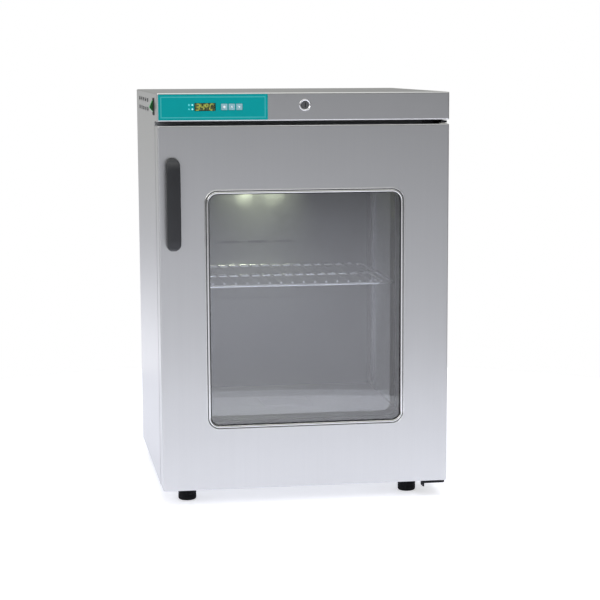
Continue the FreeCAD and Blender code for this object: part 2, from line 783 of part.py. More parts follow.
def lock_keeper():
    """Steel plate under the top of the door, slotted for the cam."""
    z1 = door_top_z - outer_sheet - fit_gap
    plate = block(-keeper_left, keeper_right, cam_y - keeper_margin, cam_y + lock_cam_thickness + keeper_margin,
                  z1 - keeper_thickness, z1)
    return plate.cut(cam_slot(door_top_z, 2 * (keeper_thickness + outer_sheet)))


# ---------------------------------------------------------------- power switch
def switch_housing():
    """Bezel and box of the switch, hollow for the rocker."""
    bezel = rounded_block(left_x - switch_bezel_thickness, left_x,
                          switch_y - switch_bezel_width / 2, switch_y + switch_bezel_width / 2,
                          switch_z - switch_bezel_height / 2, switch_z + switch_bezel_height / 2, X_AXIS, 2)
    box = switch_box(left_x, left_x + switch_body_depth, 0)
    half_y, half_z = rocker_width / 2 + key_gap, rocker_half_height + rocker_end_gap
    hollow = block(left_x - 5, left_x + switch_body_depth - 3, switch_y - half_y, switch_y + half_y,
                   switch_z - half_z, switch_z + half_z)
    return join(bezel, box).cut(hollow)


def power_rocker():
    """Ridged rocker on its cross axle, resting with its lower half pressed in."""
    face_x, ridge_x = left_x - 1.5, left_x - rocker_proud
    y0 = switch_y - rocker_width / 2
    outline = Part.makePolygon([
        V(rocker_axis_x, y0, switch_z - rocker_half_height), V(face_x, y0, switch_z - rocker_half_height),
        V(ridge_x, y0, switch_z - rocker_ridge / 2), V(ridge_x, y0, switch_z + rocker_ridge / 2),
        V(face_x, y0, switch_z + rocker_half_height), V(rocker_axis_x, y0, switch_z + rocker_half_height),
        V(rocker_axis_x, y0, switch_z - rocker_half_height)])
    cap = Part.Face(outline).extrude(Y_AXIS * rocker_width)
    drum = rod(V(rocker_axis_x, y0, switch_z), Y_AXIS, rocker_width, rocker_drum_diameter)
    rocker = join(cap, drum)
    rocker.rotate(V(rocker_axis_x, 0, switch_z), Y_AXIS, -rocker_tilt)
    return rocker


# ---------------------------------------------------------------- mains inlet
def mains_inlet():
    x, z = inlet_place()
    flange = upright_plate(x, z, inlet_flange_width, inlet_flange_height, 3, back_y, back_y + inlet_flange)
    y0, y1 = back_y - inlet_body_depth, back_y + inlet_flange
    body = upright_plate(x, z, inlet_body_width, inlet_body_height, 2, y0, back_y + 0.5)
    socket = upright_plate(x, z, inlet_socket_width, inlet_socket_height, 2, y1 - inlet_socket_depth, y1 + 1)
    holes = group(pin_blank(dx, dz, fit_gap) for dx, dz in inlet_pin_offsets())
    return join(flange, body).cut([socket, holes])


def inlet_pin_offsets():
    """Sideways and upward places of the three pins."""
    return ((-7.0, 2.0), (7.0, 2.0), (0.0, -2.0))


def pin_blank(dx, dz, extra):
    x, z = inlet_place()
    end = back_y + inlet_flange - 2.0
    return block(x + dx - 1 - extra, x + dx + 1 + extra, back_y - inlet_body_depth - 6, end,
                 z + dz - 2 - extra, z + dz + 2 + extra)


def inlet_pins():
    return group(pin_blank(dx, dz, 0) for dx, dz in inlet_pin_offsets())


# ---------------------------------------------------------------- inside the chamber
def lamp_housings():
    housings = []
    for place in ceiling_lamp_places():
        flange = rod(place - Z_AXIS * ceiling_lamp_flange, Z_AXIS, ceiling_lamp_flange, ceiling_lamp_diameter)
        body = rod(place - Z_AXIS, Z_AXIS, ceiling_lamp_rise + 1, ceiling_lamp_body)
        seat = rod(place - Z_AXIS * (ceiling_lamp_flange + 1), Z_AXIS, ceiling_lamp_flange + 2,
                   ceiling_lamp_body - 2)
        housings.append(join(flange, body).cut(seat))
    return group(housings)


def lamp_lenses():
    lenses = []
    for place in ceiling_lamp_places():
        drop = ceiling_lamp_flange + 0.6
        disc = rod(place - Z_AXIS * drop, Z_AXIS, drop + 0.8, ceiling_lamp_body - 2 - 2 * fit_gap)
        rim = [e for e in disc.Edges if e.BoundBox.ZMax < ceiling_z - ceiling_lamp_flange]
        lenses.append(disc.makeFillet(1.2, rim))
    return group(lenses)


def floor_panel():
    """Slotted chamber floor on two long side legs that stand on the liner's bottom."""
    half = chamber_half - seam_gap
    y0, y1 = liner_front_y + seam_gap, duct_face_y - seam_gap
    plate = block(-half, half, y0, y1, chamber_floor_z - liner_sheet, chamber_floor_z)
    front_fold = 22.0
    lip = block(-half, half, y0, y0 + liner_sheet, chamber_floor_z - front_fold, chamber_floor_z)
    inset = liner_corner_radius
    legs = [block(s * (half - inset) - liner_sheet / 2, s * (half - inset) + liner_sheet / 2,
                  y0, y1, liner_bottom_z + fit_gap, chamber_floor_z) for s in (-1, 1)]
    slots = []
    for index in range(floor_slot_count):
        y = fan_y + (index - (floor_slot_count - 1) / 2) * floor_slot_pitch
        slots.append(block(-floor_slot_length / 2, floor_slot_length / 2, y - floor_slot_width / 2,
                           y + floor_slot_width / 2, chamber_floor_z - 5, chamber_floor_z + 1))
    return join(plate, lip, *legs).cut(slots)


def duct_panel():
    """Rear wall of the chamber, standing off the liner, with rows of outlet slots."""
    half = chamber_half - seam_gap
    z0, z1 = chamber_floor_z - liner_sheet, ceiling_z - seam_gap
    plate = block(-half, half, duct_face_y, duct_face_y + liner_sheet, z0, z1)
    top_corners = [e for e in along(plate, Y_AXIS) if e.CenterOfMass.z > z1 - 1]
    plate = plate.makeFillet(liner_corner_radius, top_corners)
    inset = liner_corner_radius
    sides = [block(s * (half - inset) - liner_sheet / 2, s * (half - inset) + liner_sheet / 2,
                   duct_face_y, liner_back_y - fit_gap, z0, z1 - inset) for s in (-1, 1)]
    cutters = [rod(probe_place() - Y_AXIS * 3, Y_AXIS, 6, probe_diameter + 2 * fit_gap)]
    rows = int((ceiling_z - chamber_floor_z - 2 * air_slot_end) / air_slot_row_pitch) + 1
    columns = int(2 * (half - air_slot_side) / air_slot_column_pitch)
    for row in range(rows):
        z = chamber_floor_z + air_slot_end + row * air_slot_row_pitch
        for column in range(columns):
            x = (column - (columns - 1) / 2) * air_slot_column_pitch
            cutters.append(block(x - air_slot_length / 2, x + air_slot_length / 2, duct_face_y - 1,
                                 duct_face_y + 3, z - air_slot_height / 2, z + air_slot_height / 2))
    return join(plate, *sides).cut(cutters)


def temperature_probe():
    """Round-nosed probe through the duct panel, with a collar at the panel."""
    place = probe_place()
    tip = place - Y_AXIS * probe_reach
    collar_thickness, tail = 4.0, 12.0
    nose = Part.makeSphere(probe_diameter / 2, tip)
    stem = rod(tip, Y_AXIS, probe_reach + duct_depth + tail, probe_diameter)
    collar = rod(place - Y_AXIS * collar_thickness, Y_AXIS, collar_thickness - fit_gap, probe_collar_diameter)
    return join(stem, nose, collar)


def fan_motor():
    """Shaded-pole motor under the liner, hung by its square flange."""
    z1 = liner_bottom_z - liner_sheet - fit_gap
    half = motor_flange_width / 2
    flange = block(-half, half, fan_y - half, fan_y + half, z1 - motor_flange, z1)
    body = rod(V(0, fan_y, z1 - motor_flange - motor_height), Z_AXIS, motor_height, motor_diameter)
    rim = [e for e in body.Edges if e.BoundBox.ZMax < z1 - motor_height]
    bore = rod(V(0, fan_y, z1 - fan_shaft_grip - 2), Z_AXIS, fan_shaft_grip + 3,
               fan_shaft_diameter + 2 * running_gap)
    return join(body.makeFillet(6, rim), flange).cut(bore)


def fan_wheel():
    """Centrifugal wheel: back disc, hub, curved blades and top ring, on the motor's shaft."""
    base, top = V(0, fan_y, fan_bottom_z), fan_bottom_z + fan_height
    disc = rod(base, Z_AXIS, fan_sheet, fan_diameter)
    hub = rod(base, Z_AXIS, fan_hub_height, fan_hub_diameter)
    shaft_foot = V(0, fan_y, liner_bottom_z - fan_shaft_grip)
    shaft_top = fan_bottom_z + fan_hub_height + 4
    shaft = rod(shaft_foot, Z_AXIS, shaft_top - shaft_foot.z, fan_shaft_diameter)
    ring = rod(V(0, fan_y, top - fan_sheet), Z_AXIS, fan_sheet, fan_diameter)
    ring = ring.cut(rod(V(0, fan_y, top - 3), Z_AXIS, 5, fan_diameter - 2 * fan_ring_width))
    trim = rod(base, Z_AXIS, fan_height, fan_diameter)
    start, end = fan_diameter / 2 - fan_ring_width - 2, fan_diameter / 2 - 1
    blades = []
    for index in range(fan_blade_count):
        blade = block(start, end, -fan_blade / 2, fan_blade / 2, fan_bottom_z + 1, top - 1)
        blade.rotate(V((start + end) / 2, 0, 0), Z_AXIS, fan_blade_angle)
        blade.translate(V(0, fan_y, 0))
        blade.rotate(V(0, fan_y, 0), Z_AXIS, index * 360.0 / fan_blade_count)
        blades.append(blade.common(trim))
    return join(disc, hub, shaft, ring, *blades)


def heater_element():
    """Sheathed ring heater round the fan, with two legs down through the liner."""
    z = fan_bottom_z + fan_height / 2
    radius, tube = heater_ring_diameter / 2, heater_tube / 2
    ring = Part.makeTorus(radius, tube, V(0, fan_y, z), Z_AXIS, 0, 360, 360 - heater_gap_angle)
    ring.rotate(V(0, fan_y, z), Z_AXIS, 90 + heater_gap_angle / 2)
    pieces = []
    for place in heater_leg_places():
        foot = place + Z_AXIS * (liner_bottom_z - heater_leg_drop)
        pieces += [rod(foot, Z_AXIS, z - foot.z, heater_tube), Part.makeSphere(tube, place + Z_AXIS * z)]
    return join(ring, *pieces)


def pilaster(side, y):
    """Slotted upright channel, open towards the wall."""
    wall_x = side * chamber_half
    face_x = side * (chamber_half - pilaster_depth)
    z0, z1 = chamber_floor_z + pilaster_end_gap, ceiling_z - pilaster_end_gap
    channel = block(min(wall_x, face_x), max(wall_x, face_x), y - pilaster_width / 2,
                    y + pilaster_width / 2, z0, z1)
    back_x = side * (chamber_half + 1)
    front_x = side * (chamber_half - pilaster_depth + pilaster_sheet)
    cutters = [block(min(back_x, front_x), max(back_x, front_x), y - pilaster_width / 2 + pilaster_sheet,
                     y + pilaster_width / 2 - pilaster_sheet, z0 - 1, z1 + 1)]
    count = int((z1 - z0 - 20) / pilaster_slot_pitch) + 1
    first = clip_slot_z() - math.floor((clip_slot_z() - z0 - 10) / pilaster_slot_pitch) * pilaster_slot_pitch
    for index in range(count):
        z = first + index * pilaster_slot_pitch
        if z < z1 - 8:
            cutters.append(block(face_x - 2, face_x + 2, y - pilaster_slot / 2, y + pilaster_slot / 2,
                                 z - pilaster_slot_height / 2, z + pilaster_slot_height / 2))
    return channel.cut(cutters)


def clip_slot_z():
    """Height of the slot that holds the shelf's clips."""
    return rod_z - shelf_rod / 2 - shelf_seat_gap - clip_height / 2


def shelf_pilasters():
    return group(pilaster(s, y) for s in (-1, 1) for y in pilaster_y_places)


def shelf_clip(side, y):
    """Folded clip: a tongue in the pilaster's slot and a ledge under the shelf's side rod."""
    face_x = chamber_half - pilaster_depth
    z1 = rod_z - shelf_rod / 2 - shelf_seat_gap
    z0 = z1 - clip_height
    y0, y1 = y - clip_width / 2, y + clip_width / 2
    plate = block(face_x - clip_sheet, face_x, y0, y1, z0, z1)
    ledge = block(face_x - clip_reach, face_x, y0, y1, z1 - clip_sheet, z1)
    tongue = block(face_x - 0.5, face_x + 4, y - pilaster_slot / 2 + 0.5, y + pilaster_slot / 2 - 0.5,
                   clip_slot_z() - 0.8, clip_slot_z() + 0.8)
    clip = join(plate, ledge, tongue)
    return clip if side > 0 else clip.mirror(V(0, 0, 0), X_AXIS)


def shelf_clips():
    return group(shelf_clip(s, y) for s in (-1, 1) for y in pilaster_y_places)


def shelf_frame():
    """Closed frame of round rod with bent corners."""
    middle_y = (shelf_front_y + shelf_back_y) / 2
    half_x, half_y = shelf_width / 2 - shelf_bend_radius, (shelf_back_y - shelf_front_y) / 2 - shelf_bend_radius
    reach_x, reach_y = half_x + shelf_bend_radius, half_y + shelf_bend_radius
    rods = [rod(V(s * reach_x, middle_y - half_y, rod_z), Y_AXIS, 2 * half_y, shelf_rod) for s in (-1, 1)]
    rods += [rod(V(-half_x, middle_y + s * reach_y, rod_z), X_AXIS, 2 * half_x, shelf_rod) for s in (-1, 1)]
    for quarter, (side, end) in enumerate(((1, 1), (-1, 1), (-1, -1), (1, -1))):
        centre = V(side * half_x, middle_y + end * half_y, rod_z)
        corner = Part.makeTorus(shelf_bend_radius, shelf_rod / 2, centre, Z_AXIS, 0, 360, 90)
        corner.rotate(centre, Z_AXIS, 90 * quarter)
        rods.append(corner)
    return rods


def wire_shelf():
    """Welded shelf: the frame, one middle rod, and wires laid over them."""
    depth = shelf_back_y - shelf_front_y
    start = V(-shelf_width / 2, (shelf_front_y + shelf_back_y) / 2, rod_z)
    middle = rod(start, X_AXIS, shelf_width, shelf_rod)
    weld_depth = 0.4
    overhang = 2.0
    wires = []
    for index in range(shelf_wire_count):
        x = (index - (shelf_wire_count - 1) / 2) * shelf_wire_pitch
        start = V(x, shelf_front_y - overhang, shelf_z - weld_depth)
        wires.append(rod(start, Y_AXIS, depth + 2 * overhang, shelf_wire))
    frame = shelf_frame()
    return frame[0].multiFuse(frame[1:] + [middle] + wires)


# ---------------------------------------------------------------- door
def bush_place(top):
    return V(hinge_x, hinge_y, door_top_z if top else door_bottom_z)


def bush_holes(extra):
    """Cutters at both ends of the door for the hinge bushes."""
    size = hinge_pin_diameter + 2 * running_gap + 2 * bush_wall + 2 * extra
    reach = bush_length + 4
    return group([rod(bush_place(True) - Z_AXIS * reach, Z_AXIS, reach + 2, size),
                  rod(bush_place(False) - Z_AXIS * 2, Z_AXIS, reach + 2, size)])


def door_skin():
    """Folded outer pan of the door, with the window's opening."""
    y1 = door_back_y - outer_sheet - fit_gap
    outside = block(left_x, right_x, door_face_y, y1, door_bottom_z, door_top_z)
    front = [e for e in outside.Edges if e.BoundBox.YMax < door_face_y + 0.1]
    outside = outside.makeFillet(outer_fold_radius, front + along(outside, Y_AXIS))
    inside = block(left_x + outer_sheet, right_x - outer_sheet, door_face_y + outer_sheet, y1 + 1,
                   door_bottom_z + outer_sheet, door_top_z - outer_sheet)
    front = [e for e in inside.Edges if e.BoundBox.YMax < door_face_y + outer_sheet + 0.1]
    inside = inside.makeFillet(outer_fold_radius - outer_sheet, front + along(inside, Y_AXIS))
    opening = upright_plate(window_x, window_z, sight_width + 2 * seal_width, sight_height + 2 * seal_width,
                            sight_radius + seal_width, door_face_y - 1, door_face_y + 3)
    holes = [rod(p - Y_AXIS * 2, Y_AXIS, 6, screw_diameter + 1) for p in handle_screw_places()]
    return outside.cut([inside, opening, bush_holes(fit_gap), cam_slot(door_top_z, 2 * outer_sheet)] + holes)


def door_inner_panel():
    """Flat-backed inner pan, its edge folded forward inside the skin."""
    inset = outer_sheet + fit_gap
    sheet = outer_sheet
    outside = block(left_x + inset, right_x - inset, door_back_y - door_lip, door_back_y,
                    door_bottom_z + inset, door_top_z - inset)
    outside = outside.makeFillet(2, along(outside, Y_AXIS))
    inside = block(left_x + inset + sheet, right_x - inset - sheet, door_back_y - door_lip - 1,
                   door_back_y - sheet, door_bottom_z + inset + sheet, door_top_z - inset - sheet)
    inside = inside.makeFillet(1, along(inside, Y_AXIS))
    opening = upright_plate(window_x, window_z, sight_width, sight_height, sight_radius,
                            door_back_y - 3, door_back_y + 1)
    return outside.cut([inside, opening])


def reveal_size():
    """Outer width, height and corner radius of the frame between the panes."""
    return (sight_width + 2 * reveal_wall, sight_height + 2 * reveal_wall, sight_radius + reveal_wall)


def window_reveal():
    """Moulded frame that lines the window and spaces the panes."""
    width, height, radius = reveal_size()
    return upright_ring(window_x, window_z, width, height, radius, reveal_wall,
                        pane_y + outer_pane + fit_gap, inner_pane_y - fit_gap)


def pane(y0, thickness):
    width, height = sight_width + 2 * pane_lap, sight_height + 2 * pane_lap
    return upright_plate(window_x, window_z, width, height, sight_radius + pane_lap, y0, y0 + thickness)


def window_seal():
    """Rubber strip between the skin's opening and the glass."""
    gap = fit_gap
    return upright_ring(window_x, window_z, sight_width + 2 * seal_width - 2 * gap,
                        sight_height + 2 * seal_width - 2 * gap, sight_radius + seal_width - gap,
                        seal_width + 1, door_face_y - 0.8, pane_y)


def window_trim():
    """Bright rounded bead round the window, on the face of the skin."""
    ring = upright_ring(window_x, window_z, window_width, window_height, window_radius, trim_width,
                        door_face_y - trim_proud, door_face_y)
    front = [e for e in ring.Edges if e.BoundBox.YMax < door_face_y - trim_proud + 0.05]
    groove = upright_plate(window_x, window_z, sight_width + 2 * seal_width + 2 * fit_gap,
                           sight_height + 2 * seal_width + 2 * fit_gap, sight_radius + seal_width + fit_gap,
                           door_face_y - 1, door_face_y + 1)
    return ring.makeFillet(trim_proud * 0.6, front).cut(groove)


def door_insulation():
    """Wool that fills the door round the window."""
    gap = outer_sheet + 1.0
    lip = 2 * outer_sheet + 4 * fit_gap
    step_y = door_back_y - door_lip - 1
    front = block(left_x + gap, right_x - gap, pane_y + fit_gap, step_y, door_bottom_z + gap, door_top_z - gap)
    rear = block(left_x + lip, right_x - lip, step_y, door_back_y - outer_sheet - fit_gap,
                 door_bottom_z + lip, door_top_z - lip)
    width, height, radius = reveal_size()
    space = pane_lap + 1.0
    hole = upright_plate(window_x, window_z, sight_width + 2 * space, sight_height + 2 * space,
                         sight_radius + space, door_face_y - 1, door_back_y + 1)
    keeper_space = block(-keeper_left - 2, keeper_right + 2, cam_y - keeper_margin - 2,
                         cam_y + lock_cam_thickness + keeper_margin + 2,
                         lock_z - lock_cam_length - lock_swing_gap, door_top_z)
    bosses = group(rod(p, Y_AXIS, 8, screw_head_diameter + 3) for p in handle_screw_places())
    front = front.makeFillet(outer_fold_radius, [e for e in front.Edges if e.BoundBox.YMax < pane_y + 1])
    return join(front, rear).cut([hole, keeper_space, bush_holes(0.6), bosses])


def door_gasket():
    """Soft magnetic seal round the back of the door."""
    y1 = body_front_y - gasket_clear
    height = door_top_z - door_bottom_z - 2 * gasket_inset
    ring = upright_ring(0, (door_bottom_z + door_top_z) / 2, cabinet_width - 2 * gasket_inset, height,
                        8, gasket_width, door_back_y, y1)
    rear = [e for e in ring.Edges if e.BoundBox.YMin > y1 - 0.05]
    return ring.makeFillet(2.0, rear)


def handle_centre():
    x = left_x + handle_from_left + handle_width / 2
    return x, door_top_z - handle_below_door_top - handle_length / 2


def handle_screw_places():
    x, z = handle_centre()
    reach = handle_length / 2 - handle_foot_length / 2
    return [V(x, door_face_y + outer_sheet, z + s * reach) for s in (-1, 1)]


def handle():
    """Bow handle: round-ended from the front, arched from the side, hollow for the fingers."""
    x, z = handle_centre()
    half = handle_length / 2
    shoulder = half - handle_foot_length
    end_rise = handle_projection - handle_bow
    x0 = x - handle_width / 2

    def point(out, up):
        return V(x0, door_face_y - out, z + up)

    low_end, high_end = point(0, -half), point(0, half)
    low_shoulder, high_shoulder = point(end_rise, -shoulder), point(end_rise, shoulder)
    turn = handle_foot_length * 0.3
    outline = Part.Wire([
        Part.Arc(low_end, point(end_rise * 0.72, -half + turn), low_shoulder).toShape(),
        Part.Arc(low_shoulder, point(handle_projection, 0), high_shoulder).toShape(),
        Part.Arc(high_shoulder, point(end_rise * 0.72, half - turn), high_end).toShape(),
        Part.LineSegment(high_end, low_end).toShape()])
    bow = Part.Face(outline).extrude(X_AXIS * handle_width)
    front_outline = upright_plate(x, z, handle_width, handle_length, handle_width / 2 - 0.01,
                                  door_face_y - handle_projection - 1, door_face_y)
    finger_depth = handle_projection - handle_grip
    gap = block(x0 - 1, x0 + handle_width + 1, door_face_y - finger_depth, door_face_y + 1,
                z - shoulder, z + shoulder)
    gap = gap.makeFillet(6, [e for e in along(gap, X_AXIS) if e.CenterOfMass.y < door_face_y - 1])
    holes = [rod(p - Y_AXIS * (screw_length + 1), Y_AXIS, screw_length + 2, screw_diameter + 2 * running_gap)
             for p in handle_screw_places()]
    return bow.common(front_outline).cut([gap] + holes)


def handle_screws():
    """Screws from inside the skin into the handle's feet."""
    return group(pan_screw(p, Y_AXIS) for p in handle_screw_places())


# ---------------------------------------------------------------- hinges and feet
def top_hinge_bracket():
    """Plate over the door's corner, with a flange down the front frame."""
    z0, z1 = top_plate_z, top_plate_z + hinge_plate
    nose = rod(V(hinge_x, hinge_y, z0), Z_AXIS, hinge_plate, 2 * hinge_nose_radius)
    arm = block(hinge_x - hinge_nose_radius, hinge_x + hinge_nose_radius, hinge_y, body_front_y, z0, z1)
    x0, x1 = hinge_x + hinge_nose_radius - top_bracket_width, hinge_x + hinge_nose_radius
    root = block(x0, x1, body_front_y - hinge_root, body_front_y, z1 - hinge_flange, z1)
    pin_hole = rod(V(hinge_x, hinge_y, z0 - 1), Z_AXIS, hinge_plate + 2, hinge_pin_diameter)
    return join(nose, arm, root).cut(pin_hole)


def bottom_hinge_bracket():
    """Plate under the door's corner, joggled up to the base pan, with a stop tab."""
    z0, z1 = bottom_plate_z, bottom_plate_z + hinge_plate
    x1 = hinge_x + hinge_nose_radius
    x0 = x1 - bottom_bracket_width
    nose = rod(V(hinge_x, hinge_y, z0), Z_AXIS, hinge_plate, 2 * hinge_nose_radius)
    joggle_y = body_front_y + 2 + hinge_plate
    front = block(x0, hinge_x, hinge_y - hinge_nose_radius, joggle_y, z0, z1)
    arm = block(hinge_x, x1, hinge_y, joggle_y, z0, z1)
    rear = block(x0, x1, joggle_y - hinge_plate, body_front_y + bracket_rear_reach,
                 base_z - hinge_plate, base_z)
    tab = block(x0, x0 + bracket_tab, hinge_y - hinge_nose_radius, hinge_y + 14, z0 - bracket_tab_drop, z1)
    bracket = join(nose, front, arm, rear, tab)
    pin_hole = rod(V(hinge_x, hinge_y, z0 - 1), Z_AXIS, hinge_plate + 2, hinge_pin_diameter)
    return bracket.cut([pin_hole, screw_bores(0)])


def hinge_pins():
    """One pin pressed into each bracket, reaching into the door's bush."""
    reach = hinge_plate + hinge_running_space + bush_length
    return group([rod(V(hinge_x, hinge_y, top_plate_z + hinge_plate - reach), Z_AXIS, reach, hinge_pin_diameter),
                  rod(V(hinge_x, hinge_y, bottom_plate_z), Z_AXIS, reach, hinge_pin_diameter)])


def hinge_bushes():
    """Flanged nylon bushes in the door's top and bottom."""
    bore = hinge_pin_diameter + 2 * running_gap
    bushes = []
    for top, way in ((True, 1), (False, -1)):
        seat = bush_place(top)
        inward = Z_AXIS * -way
        sleeve = rod(seat, inward, bush_length + 2, bore + 2 * bush_wall)
        collar = rod(seat, Z_AXIS * way, bush_flange, bore + 2 * bush_wall + 3)
        hole = rod(seat + Z_AXIS * way * 3, inward, bush_length + 3.5, bore)
        bushes.append(join(sleeve, collar).cut(hole))
    return group(bushes)


def machine_screws():
    """Screws of the back panel and of the bottom hinge bracket."""
    screws = [pan_screw(p, Y_AXIS) for p in back_screw_places()]
    screws += [pan_screw(p, Z_AXIS * -1) for p in bracket_screw_places()]
    return group(screws)


def foot(x, y):
    """Levelling foot: a round moulded pad on a threaded stem."""
    pad = rod(V(x, y, 0), Z_AXIS, foot_height - foot_clear, foot_diameter)
    pad = pad.makeFillet(foot_edge_radius, [e for e in pad.Edges if e.BoundBox.ZMax < 0.01])
    stem = rod(V(x, y, foot_height - foot_clear - 1), Z_AXIS, foot_stem_length + 1, foot_stem_diameter)
    return join(pad, stem)


def foot_nuts():
    """Nuts welded over the base pan's holes, one for each foot."""
    nuts = []
    z0 = base_z + outer_sheet
    for x in foot_x_places:
        for y in foot_y_places:
            nut = rod(V(x, y, z0), Z_AXIS, foot_nut_height, foot_nut_diameter)
            bore = rod(V(x, y, z0 - 1), Z_AXIS, foot_nut_height + 2, foot_stem_diameter + 2 * running_gap)
            nuts.append(nut.cut(bore))
    return group(nuts)


# ---------------------------------------------------------------- write every piece
os.makedirs("parts", exist_ok=True)

save("outer_wrapper", outer_wrapper())
save("base_pan", base_pan())
save("back_panel", back_panel())
save("fascia_panel", fascia_panel())
save("front_frame", front_frame())
save("chamber_liner", chamber_liner())
save("insulation", insulation())
save("electronics_tray", electronics_tray())
save("control_strip", control_strip())
save("display_window", display_window())
save("display_module", display_module())
save("status_lamps", status_lamps())
save("control_board", control_board())
for number, name in enumerate(("set_key", "up_key", "down_key")):
    save(name, key(number))
save("power_supply", power_supply())
save("safety_thermostat", safety_thermostat())
save("lock_housing", lock_housing())
save("lock_nut", lock_nut())
save("lock_plug", lock_plug())
save("lock_cam", lock_cam())
save("lock_keeper", lock_keeper())
save("switch_housing", switch_housing())
save("power_rocker", power_rocker())
save("mains_inlet", mains_inlet())
save("inlet_pins", inlet_pins())
save("lamp_housings", lamp_housings())
save("lamp_lenses", lamp_lenses())
save("floor_panel", floor_panel())
save("duct_panel", duct_panel())
save("temperature_probe", temperature_probe())
save("fan_motor", fan_motor())
save("fan_wheel", fan_wheel())
save("heater_element", heater_element())
save("shelf_pilasters", shelf_pilasters())
save("shelf_clips", shelf_clips())
save("wire_shelf", wire_shelf())
save("door_skin", door_skin())
save("door_inner_panel", door_inner_panel())
save("door_insulation", door_insulation())
save("window_trim", window_trim())
save("window_seal", window_seal())
save("outer_glass", pane(pane_y, outer_pane))
save("window_reveal", window_reveal())
save("inner_glass", pane(inner_pane_y, inner_pane))
save("door_gasket", door_gasket())
save("handle", handle())
save("handle_screws", handle_screws())
save("top_hinge_bracket", top_hinge_bracket())
save("bottom_hinge_bracket", bottom_hinge_bracket())
save("hinge_pins", hinge_pins())
save("hinge_bushes", hinge_bushes())
save("machine_screws", machine_screws())
save("foot_nuts", foot_nuts())
for y, end in zip(foot_y_places, ("front", "rear")):
    for x, hand in zip(foot_x_places, ("left", "right")):
        save("foot_" + end + "_" + hand, foot(x, y))
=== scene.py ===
# Blanket warming cabinet: the looks of every piece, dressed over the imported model.
# Metres. +X right, +Y to the back, +Z up. The origin is on the floor under the middle.
import math

import bmesh
import bpy
from mathutils import Matrix, Vector


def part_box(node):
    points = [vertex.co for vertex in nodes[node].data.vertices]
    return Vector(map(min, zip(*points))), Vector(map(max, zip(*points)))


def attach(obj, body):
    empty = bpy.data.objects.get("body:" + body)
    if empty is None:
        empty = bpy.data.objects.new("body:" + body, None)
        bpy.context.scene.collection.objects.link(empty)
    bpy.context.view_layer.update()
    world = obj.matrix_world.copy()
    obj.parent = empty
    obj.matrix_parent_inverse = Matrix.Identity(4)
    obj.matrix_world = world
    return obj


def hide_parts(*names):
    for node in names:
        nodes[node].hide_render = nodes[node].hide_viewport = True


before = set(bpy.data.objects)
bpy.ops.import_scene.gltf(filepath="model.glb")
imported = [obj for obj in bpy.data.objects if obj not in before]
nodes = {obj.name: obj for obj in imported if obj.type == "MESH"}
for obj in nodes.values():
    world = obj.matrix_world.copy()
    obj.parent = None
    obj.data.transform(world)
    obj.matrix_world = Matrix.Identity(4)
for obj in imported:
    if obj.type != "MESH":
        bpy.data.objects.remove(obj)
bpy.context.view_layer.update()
scene = bpy.context.scene
scene.view_settings.view_transform = "Standard"


# ---------------------------------------------------------------- camera
# The camera stands in front of the cabinet, to the left of its middle and a little above its
# top, and looks slightly down. Its axis meets the image right of the middle and below it.
camera_place = Vector((-0.592, -3.944, 0.911))
camera_yaw, camera_pitch, camera_roll = math.radians(9.75), math.radians(-8.98), math.radians(-0.16)
image_pixels = 600.0
focal_pixels = 1824.0
axis_pixel = (325.0, 350.0)


def new_object(name, data):
    thing = bpy.data.objects.new(name, data)
    scene.collection.objects.link(thing)
    return thing


camera_data = bpy.data.cameras.new("camera")
camera_data.sensor_width = 36.0
camera_data.lens = focal_pixels / image_pixels * camera_data.sensor_width
camera_data.shift_x = (image_pixels / 2 - axis_pixel[0]) / image_pixels
camera_data.shift_y = (axis_pixel[1] - image_pixels / 2) / image_pixels
camera_data.clip_start, camera_data.clip_end = 0.05, 100.0
camera = new_object("camera", camera_data)
camera.matrix_world = (Matrix.Translation(camera_place)
                       @ Matrix.Rotation(-camera_yaw, 4, "Z")
                       @ Matrix.Rotation(math.radians(90) + camera_pitch, 4, "X")
                       @ Matrix.Rotation(camera_roll, 4, "Z"))
scene.camera = camera


# ---------------------------------------------------------------- room
# A studio with a white surround. Polished metal sees its own room, which shades the brushed
# sheets: bright low down and overhead, dark at eye level, paler behind the cabinet than in front
# of it, darker to the right, and with a tall screen at each side.
heights_in_front = ((-1.00, 0.92), (-0.21, 0.92), (-0.18, 1.06), (-0.15, 1.10), (-0.12, 1.04),
                    (-0.09, 0.70), (-0.05, 0.13), (0.08, 0.12), (0.45, 0.20), (0.75, 0.80),
                    (0.93, 1.35), (1.00, 1.35))      # sine of the height angle, brightness
heights_behind = ((-1.00, 1.32), (-0.20, 1.32), (-0.15, 1.12), (-0.10, 0.49), (-0.05, 0.43),
                  (0.05, 0.38), (0.45, 0.28), (0.75, 0.80), (0.93, 1.35), (1.00, 1.35))
heights_at_sides = ((-1.00, 0.95), (-0.16, 0.80), (-0.08, 0.40), (0.02, 0.24), (0.40, 0.30),
                    (0.70, 1.00), (1.00, 1.35))
front_to_back = 0.3                     # half the depth over which one wall becomes the other
screen_from, screen_to = 0.62, 0.80     # how far to the side the screens begin, and are full
left_x, left_strength = -0.10, 1.1482
right_x, right_strength = 0.50, 0.6802
low_tint, high_tint = (0.962, 0.968, 1.035), (1.0, 1.0, 0.968)
tint_height = -0.08                     # where the cool tint below meets the warm one above
room_softness = 0.62                    # what soft surfaces receive from all round
room_colour = (0.97, 0.98, 1.0, 1)

world = bpy.data.worlds.new("studio")
scene.world = world
world.use_nodes = True
tree = world.node_tree
tree.nodes.clear()


def feed(node, values):
    """Sets inputs, found by title or number, or links them to sockets. Gives the outputs."""
    for key, value in values.items():
        if isinstance(value, bpy.types.NodeSocket):
            node.id_data.links.new(value, node.inputs[key])
        else:
            node.inputs[key].default_value = value
    return node.outputs


def add(tree, kind, values):
    return feed(tree.nodes.new("ShaderNode" + kind), values)


